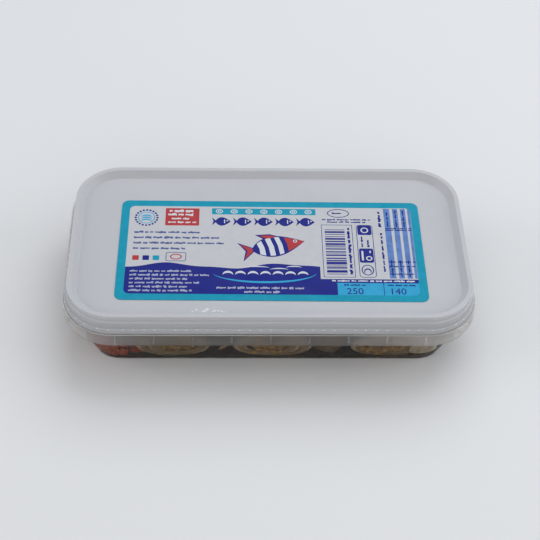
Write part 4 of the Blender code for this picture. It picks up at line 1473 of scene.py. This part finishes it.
def square_points(left):
    """Points round one of the three coloured squares."""
    return box_points(left, left + SQUARE, SQUARES_LOW, SQUARES_LOW + SQUARE)


small_print_ink = print_ink("small_print_ink", (0.10, 0.13, 0.33))
navy_words = bmesh.new()
for level, length in NAVY_LINES:
    lay_words(navy_words, NAVY_LINES_LEFT, level, length, print_rule, 2, tall=0.8)
add_print("navy_lines", navy_words, small_print_ink)
navy_marks = bmesh.new()
lay_ink(navy_marks, square_points(NAVY_SQUARE_LEFT), 2)
icon_outer = box_points(-42.6, -34.4, -7.0, -2.0, 0.8)
lay_ring(navy_marks, icon_outer, box_points(-42.35, -34.65, -6.75, -2.25, 0.6), 2)
add_print("navy_marks", navy_marks, navy)
red_marks = bmesh.new()
lay_ink(red_marks, square_points(RED_SQUARE_LEFT), 2)
lay_ring(red_marks, oval_points(2.4, 1.6, ICON_CENTRE), oval_points(1.9, 1.1, ICON_CENTRE), 2)
add_print("red_marks", red_marks, red)
teal_mark = bmesh.new()
lay_ink(teal_mark, square_points(TEAL_SQUARE_LEFT), 2)
add_print("teal_mark", teal_mark, teal)
pale_print_ink = print_ink("pale_print_ink", (0.40, 0.43, 0.58))
white_words = bmesh.new()
for level, length in WHITE_LINES:
    lay_words(white_words, WHITE_LINES_LEFT, level, length, print_rule, 4, tall=0.75)
for level, start, length in FOOT_LINES:
    lay_words(white_words, start, level, length, print_rule, 4, tall=0.75)
add_print("white_lines", white_words, pale_print_ink)


# The picture in the middle. A big herring leaps over the wave: navy outline, red head, tail and fin,
# and a striped body, with white crests and a light blue sweep in the navy under it.
FISH_LENGTH = 27.0
FISH_HEIGHT = 11.6
FISH_CENTRE = (0.6, 1.6)
FISH_TILT = math.radians(14)
BODY_SHRINK = 0.88
STRIPES = ((0.10, 0.20), (0.28, 0.38), (0.46, 0.55))
HEAD = (0.64, 0.97)
# How far the parts' ends bulge towards the nose.
PART_BULGE = 0.015
# Outlines in shares of the fish's length and height, from its tail and its middle.
FIN = ((0.42, 0.40), (0.30, 0.70), (0.52, 0.62), (0.66, 0.42))
FIN_INSIDE = ((0.45, 0.43), (0.36, 0.63), (0.51, 0.57), (0.61, 0.43))
TAIL_INSIDE = ((0.11, 0), (0.03, 0.37), (0.19, 0.07), (0.19, -0.07), (0.03, -0.37))
# White crests on the wave: seven in a row, then three longer ones as middle and reach.
CRESTS = 7
CRESTS_FROM = (-17.5, -14.6)
CREST_PITCH = 5.0
LONG_CRESTS = (((-6, -10.6), 5.5), ((3, -11.6), 4.0), ((9, -10.4), 3.4))


def on_fish(outline):
    """An outline drawn in shares of the big fish, set down on the label."""
    return place_points(outline, FISH_LENGTH, FISH_HEIGHT, FISH_CENTRE, FISH_TILT)


def body_part(start, end):
    """The part of the fish's body between two shares of its length, with curved ends."""
    upper = []
    for step in range(9):
        share = start + (end - start) * step / 8
        upper.append((TAIL_SHARE + (1 - TAIL_SHARE) * share, fish_edge(share) * BODY_SHRINK))
    lower = [(x, -y) for x, y in upper[::-1]]
    return on_fish(upper + [(upper[-1][0] + PART_BULGE, 0.0)] + lower + [(upper[0][0] + PART_BULGE, 0.0)])


fish_shape = bmesh.new()
lay_ink(fish_shape, fish_points(FISH_LENGTH, FISH_HEIGHT, FISH_CENTRE, FISH_TILT), 3)
lay_ink(fish_shape, on_fish(FIN), 2.5)
eye_place = on_fish([(0.86, 0.08)])[0]
lay_ink(fish_shape, oval_points(0.4, 0.4, eye_place, 12), 6)
add_print("big_fish", fish_shape, navy)
fish_red = bmesh.new()
lay_ink(fish_red, body_part(*HEAD), 4)
lay_ink(fish_red, on_fish(FIN_INSIDE), 4)
lay_ink(fish_red, on_fish(TAIL_INSIDE), 4)
add_print("big_fish_red", fish_red, red)
fish_white = bmesh.new()
for start, end in STRIPES:
    lay_ink(fish_white, body_part(start, end), 4)
lay_ink(fish_white, oval_points(0.85, 0.85, eye_place, 16), 5)
for index in range(CRESTS):
    crest = (CRESTS_FROM[0] + index * CREST_PITCH, CRESTS_FROM[1])
    lay_ink(fish_white, arc_points(crest, 2.1, 1.9, 15, 165, 1.0), 4)
for crest, reach in LONG_CRESTS:
    lay_ink(fish_white, arc_points(crest, reach, 1.0, 20, 160, 0.5), 4)
add_print("white_crests", fish_white, white_ink)
sweep_shape = bmesh.new()
lay_ink(sweep_shape, arc_points((-3.0, -12.6), 21.0, 5.6, 195, 352, 0.95, 50), 4)
add_print("light_blue_sweep", sweep_shape, light_blue)


# The bars and the side column. A stack of plain bars of uneven thickness in a thin frame, as for a
# till, and beside it a column of navy and white blocks with simple marks.
BARS_FRAME = (20.8, 33.6, -15.2, 14.6)
BARS = (22.2, 30.4, -13.6, 12.8)
BAR_UNIT = 0.33
COLUMN = (35.2, 42.0, -15.2, 14.6)
COLUMN_BLOCKS = ((8.8, 14.3), (-7.0, 1.0))
OVAL_CENTRE = (28.2, 21.4)
FRAME_LINE = 0.22
COLUMN_LINE = 0.25
CIRCLE_CENTRE = (38.6, -11.1)
RING_CENTRE = (38.6, 11.5)
SMALL_RING_CENTRE = (39.6, -4.6)
# Upright lines in the column as place and length, lines over the bars as start, level and length, and
# white strokes in the column's lower block as boxes.
COLUMN_LINES = ((37.2, 6.4), (39.6, 5.4))
COLUMN_LINES_LOW = 1.8
OVER_LINES = ((21.4, 17.6, 20), (23.4, 16.2, 16))
WHITE_STROKES = ((36.6, 37.4, -5.8, -0.4), (39.9, 40.5, -1.6, -0.2))


def inside_box(box, inward, radius=0.3):
    """Points round a box set in from another's sides."""
    left, right, low, high = box
    return box_points(left + inward, right - inward, low + inward, high - inward, radius)


bars_shape = bmesh.new()
lay_ring(bars_shape, box_points(*BARS_FRAME), inside_box(BARS_FRAME, FRAME_LINE), 2)
level = BARS[2]
while level < BARS[3]:
    thick = BAR_UNIT * print_rule.choice((1, 1, 2, 3, 4))
    lay_ink(bars_shape, box_points(BARS[0], BARS[1], level, level + thick, 0.02), 2)
    level += thick + BAR_UNIT * print_rule.choice((1, 2, 2, 3))
lay_words(bars_shape, BARS[2], 32.0, BARS[3] - BARS[2], print_rule, 2, sideways=True, tall=0.9)
lay_ring(bars_shape, box_points(*COLUMN, 1.3), inside_box(COLUMN, COLUMN_LINE, 1.0), 2)
for low, high in COLUMN_BLOCKS:
    lay_ink(bars_shape, box_points(COLUMN[0] + 0.5, COLUMN[1] - 0.5, low, high, 0.8), 2)
for place, length in COLUMN_LINES:
    lay_words(bars_shape, COLUMN_LINES_LOW, place, length, print_rule, 2, sideways=True)
lay_ring(bars_shape, oval_points(2.5, 2.9, CIRCLE_CENTRE), oval_points(2.1, 2.5, CIRCLE_CENTRE), 2)
lay_ink(bars_shape, arc_points((38.6, -12.0), 1.3, 1.5, -40, 220, 0.6), 2)
lay_ring(bars_shape, oval_points(4.6, 2.5, OVAL_CENTRE), oval_points(4.25, 2.15, OVAL_CENTRE), 2)
lay_words(bars_shape, OVAL_CENTRE[0] - 2.6, OVAL_CENTRE[1], 5.2, print_rule, 2, tall=0.6)
for start, level, length in OVER_LINES:
    lay_words(bars_shape, start, level, length, print_rule, 2, tall=0.55)
add_print("bars_and_column", bars_shape, navy)
column_marks = bmesh.new()
lay_ring(column_marks, oval_points(1.6, 1.6, RING_CENTRE), oval_points(1.1, 1.1, RING_CENTRE), 4)
for stroke in WHITE_STROKES:
    lay_ink(column_marks, box_points(*stroke), 4)
lay_ring(column_marks, oval_points(1.3, 1.3, SMALL_RING_CENTRE), oval_points(0.8, 0.8, SMALL_RING_CENTRE), 4)
add_print("column_marks", column_marks, white_ink)


# The table at the right end and the weights below it. Mid blue bands with white between, ruled
# across with navy, and two light blue boxes that give plain numbers.
TABLE_BANDS = ((47.2, 49.8), (51.0, 53.2), (54.3, 56.4), (57.3, 58.4))
TABLE_LOW = -15.6
TABLE_HIGH = 24.4
TABLE_RULES = (11.6, 12.6, -6.5, -9.0, -13.2)
WEIGHT_NUMBERS = (("250", 29.4), ("140", 46.4))
WEIGHT_LINES = ((28.6, 8.5), (46.0, 11.0))
WEIGHT_SPLIT = 44.4
NUMBER_LEVEL = -24.2
NUMBER_HEIGHT = 4.6

mid_blue = print_ink("mid_blue_ink", (0.13, 0.25, 0.58), 0.14)
bands_shape = bmesh.new()
for left, right in TABLE_BANDS:
    lay_ink(bands_shape, box_points(left, right, TABLE_LOW, TABLE_HIGH, 0.1), 1)
add_print("table_bands", bands_shape, mid_blue)
rules_shape = bmesh.new()
for level in TABLE_RULES:
    lay_words(rules_shape, 47.4, level, 10.8, print_rule, 3, tall=0.45)
for left, right in TABLE_BANDS[:3]:
    lay_words(rules_shape, TABLE_LOW + 1, (left + right) / 2, 9, print_rule, 4, sideways=True, tall=0.5)
    lay_words(rules_shape, TABLE_HIGH - 11, (left + right) / 2, 10, print_rule, 4, sideways=True, tall=0.5)
lay_words(rules_shape, -12, 45.4, 22, print_rule, 2, sideways=True, tall=0.6)
lay_words(rules_shape, 13.5, 45.2, 9, print_rule, 2, sideways=True, tall=0.9)
add_print("table_rules", rules_shape, navy)

weights_shape = bmesh.new()
weight_box = box_points(WEIGHTS_LEFT, BORDER_HALF_U, -BORDER_HALF_V, STRIPE_LOW, 0.1)
lay_ink(weights_shape, weight_box, 1)
add_print("weight_boxes", weights_shape, light_blue)
marks_shape = bmesh.new()
split = box_points(WEIGHT_SPLIT - 0.12, WEIGHT_SPLIT + 0.12, -BORDER_HALF_V, STRIPE_LOW, 0.05)
lay_ink(marks_shape, split, 3)
for start, length in WEIGHT_LINES:
    lay_words(marks_shape, start, -19.4, length, print_rule, 3, tall=0.55)
add_print("weight_marks", marks_shape, navy)
stripe_words = bmesh.new()
lay_words(stripe_words, 24, (STRIPE_LOW + STRIPE_HIGH) / 2, 33, print_rule, 4, tall=0.55)
add_print("stripe_line", stripe_words, white_ink)
for number, left in WEIGHT_NUMBERS:
    digits = bpy.data.curves.new(f"digits_{number}", "FONT")
    digits.body = number
    digits.size = NUMBER_HEIGHT * MM
    digits.extrude = INK_STEP
    digits_piece = bpy.data.objects.new(f"digits_{number}", digits)
    bpy.context.scene.collection.objects.link(digits_piece)
    bpy.context.view_layer.update()
    outline = bpy.data.meshes.new_from_object(digits_piece)
    bpy.data.objects.remove(digits_piece)
    outline.transform(Matrix.Translation((left * MM, NUMBER_LEVEL * MM, ink_top(2))))
    outline.materials.clear()
    outline.materials.append(navy)
    numbers = bpy.data.objects.new(f"weight_number_{number}", outline)
    bpy.context.scene.collection.objects.link(numbers)
    numbers.matrix_world = label_place
    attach(numbers, "root")
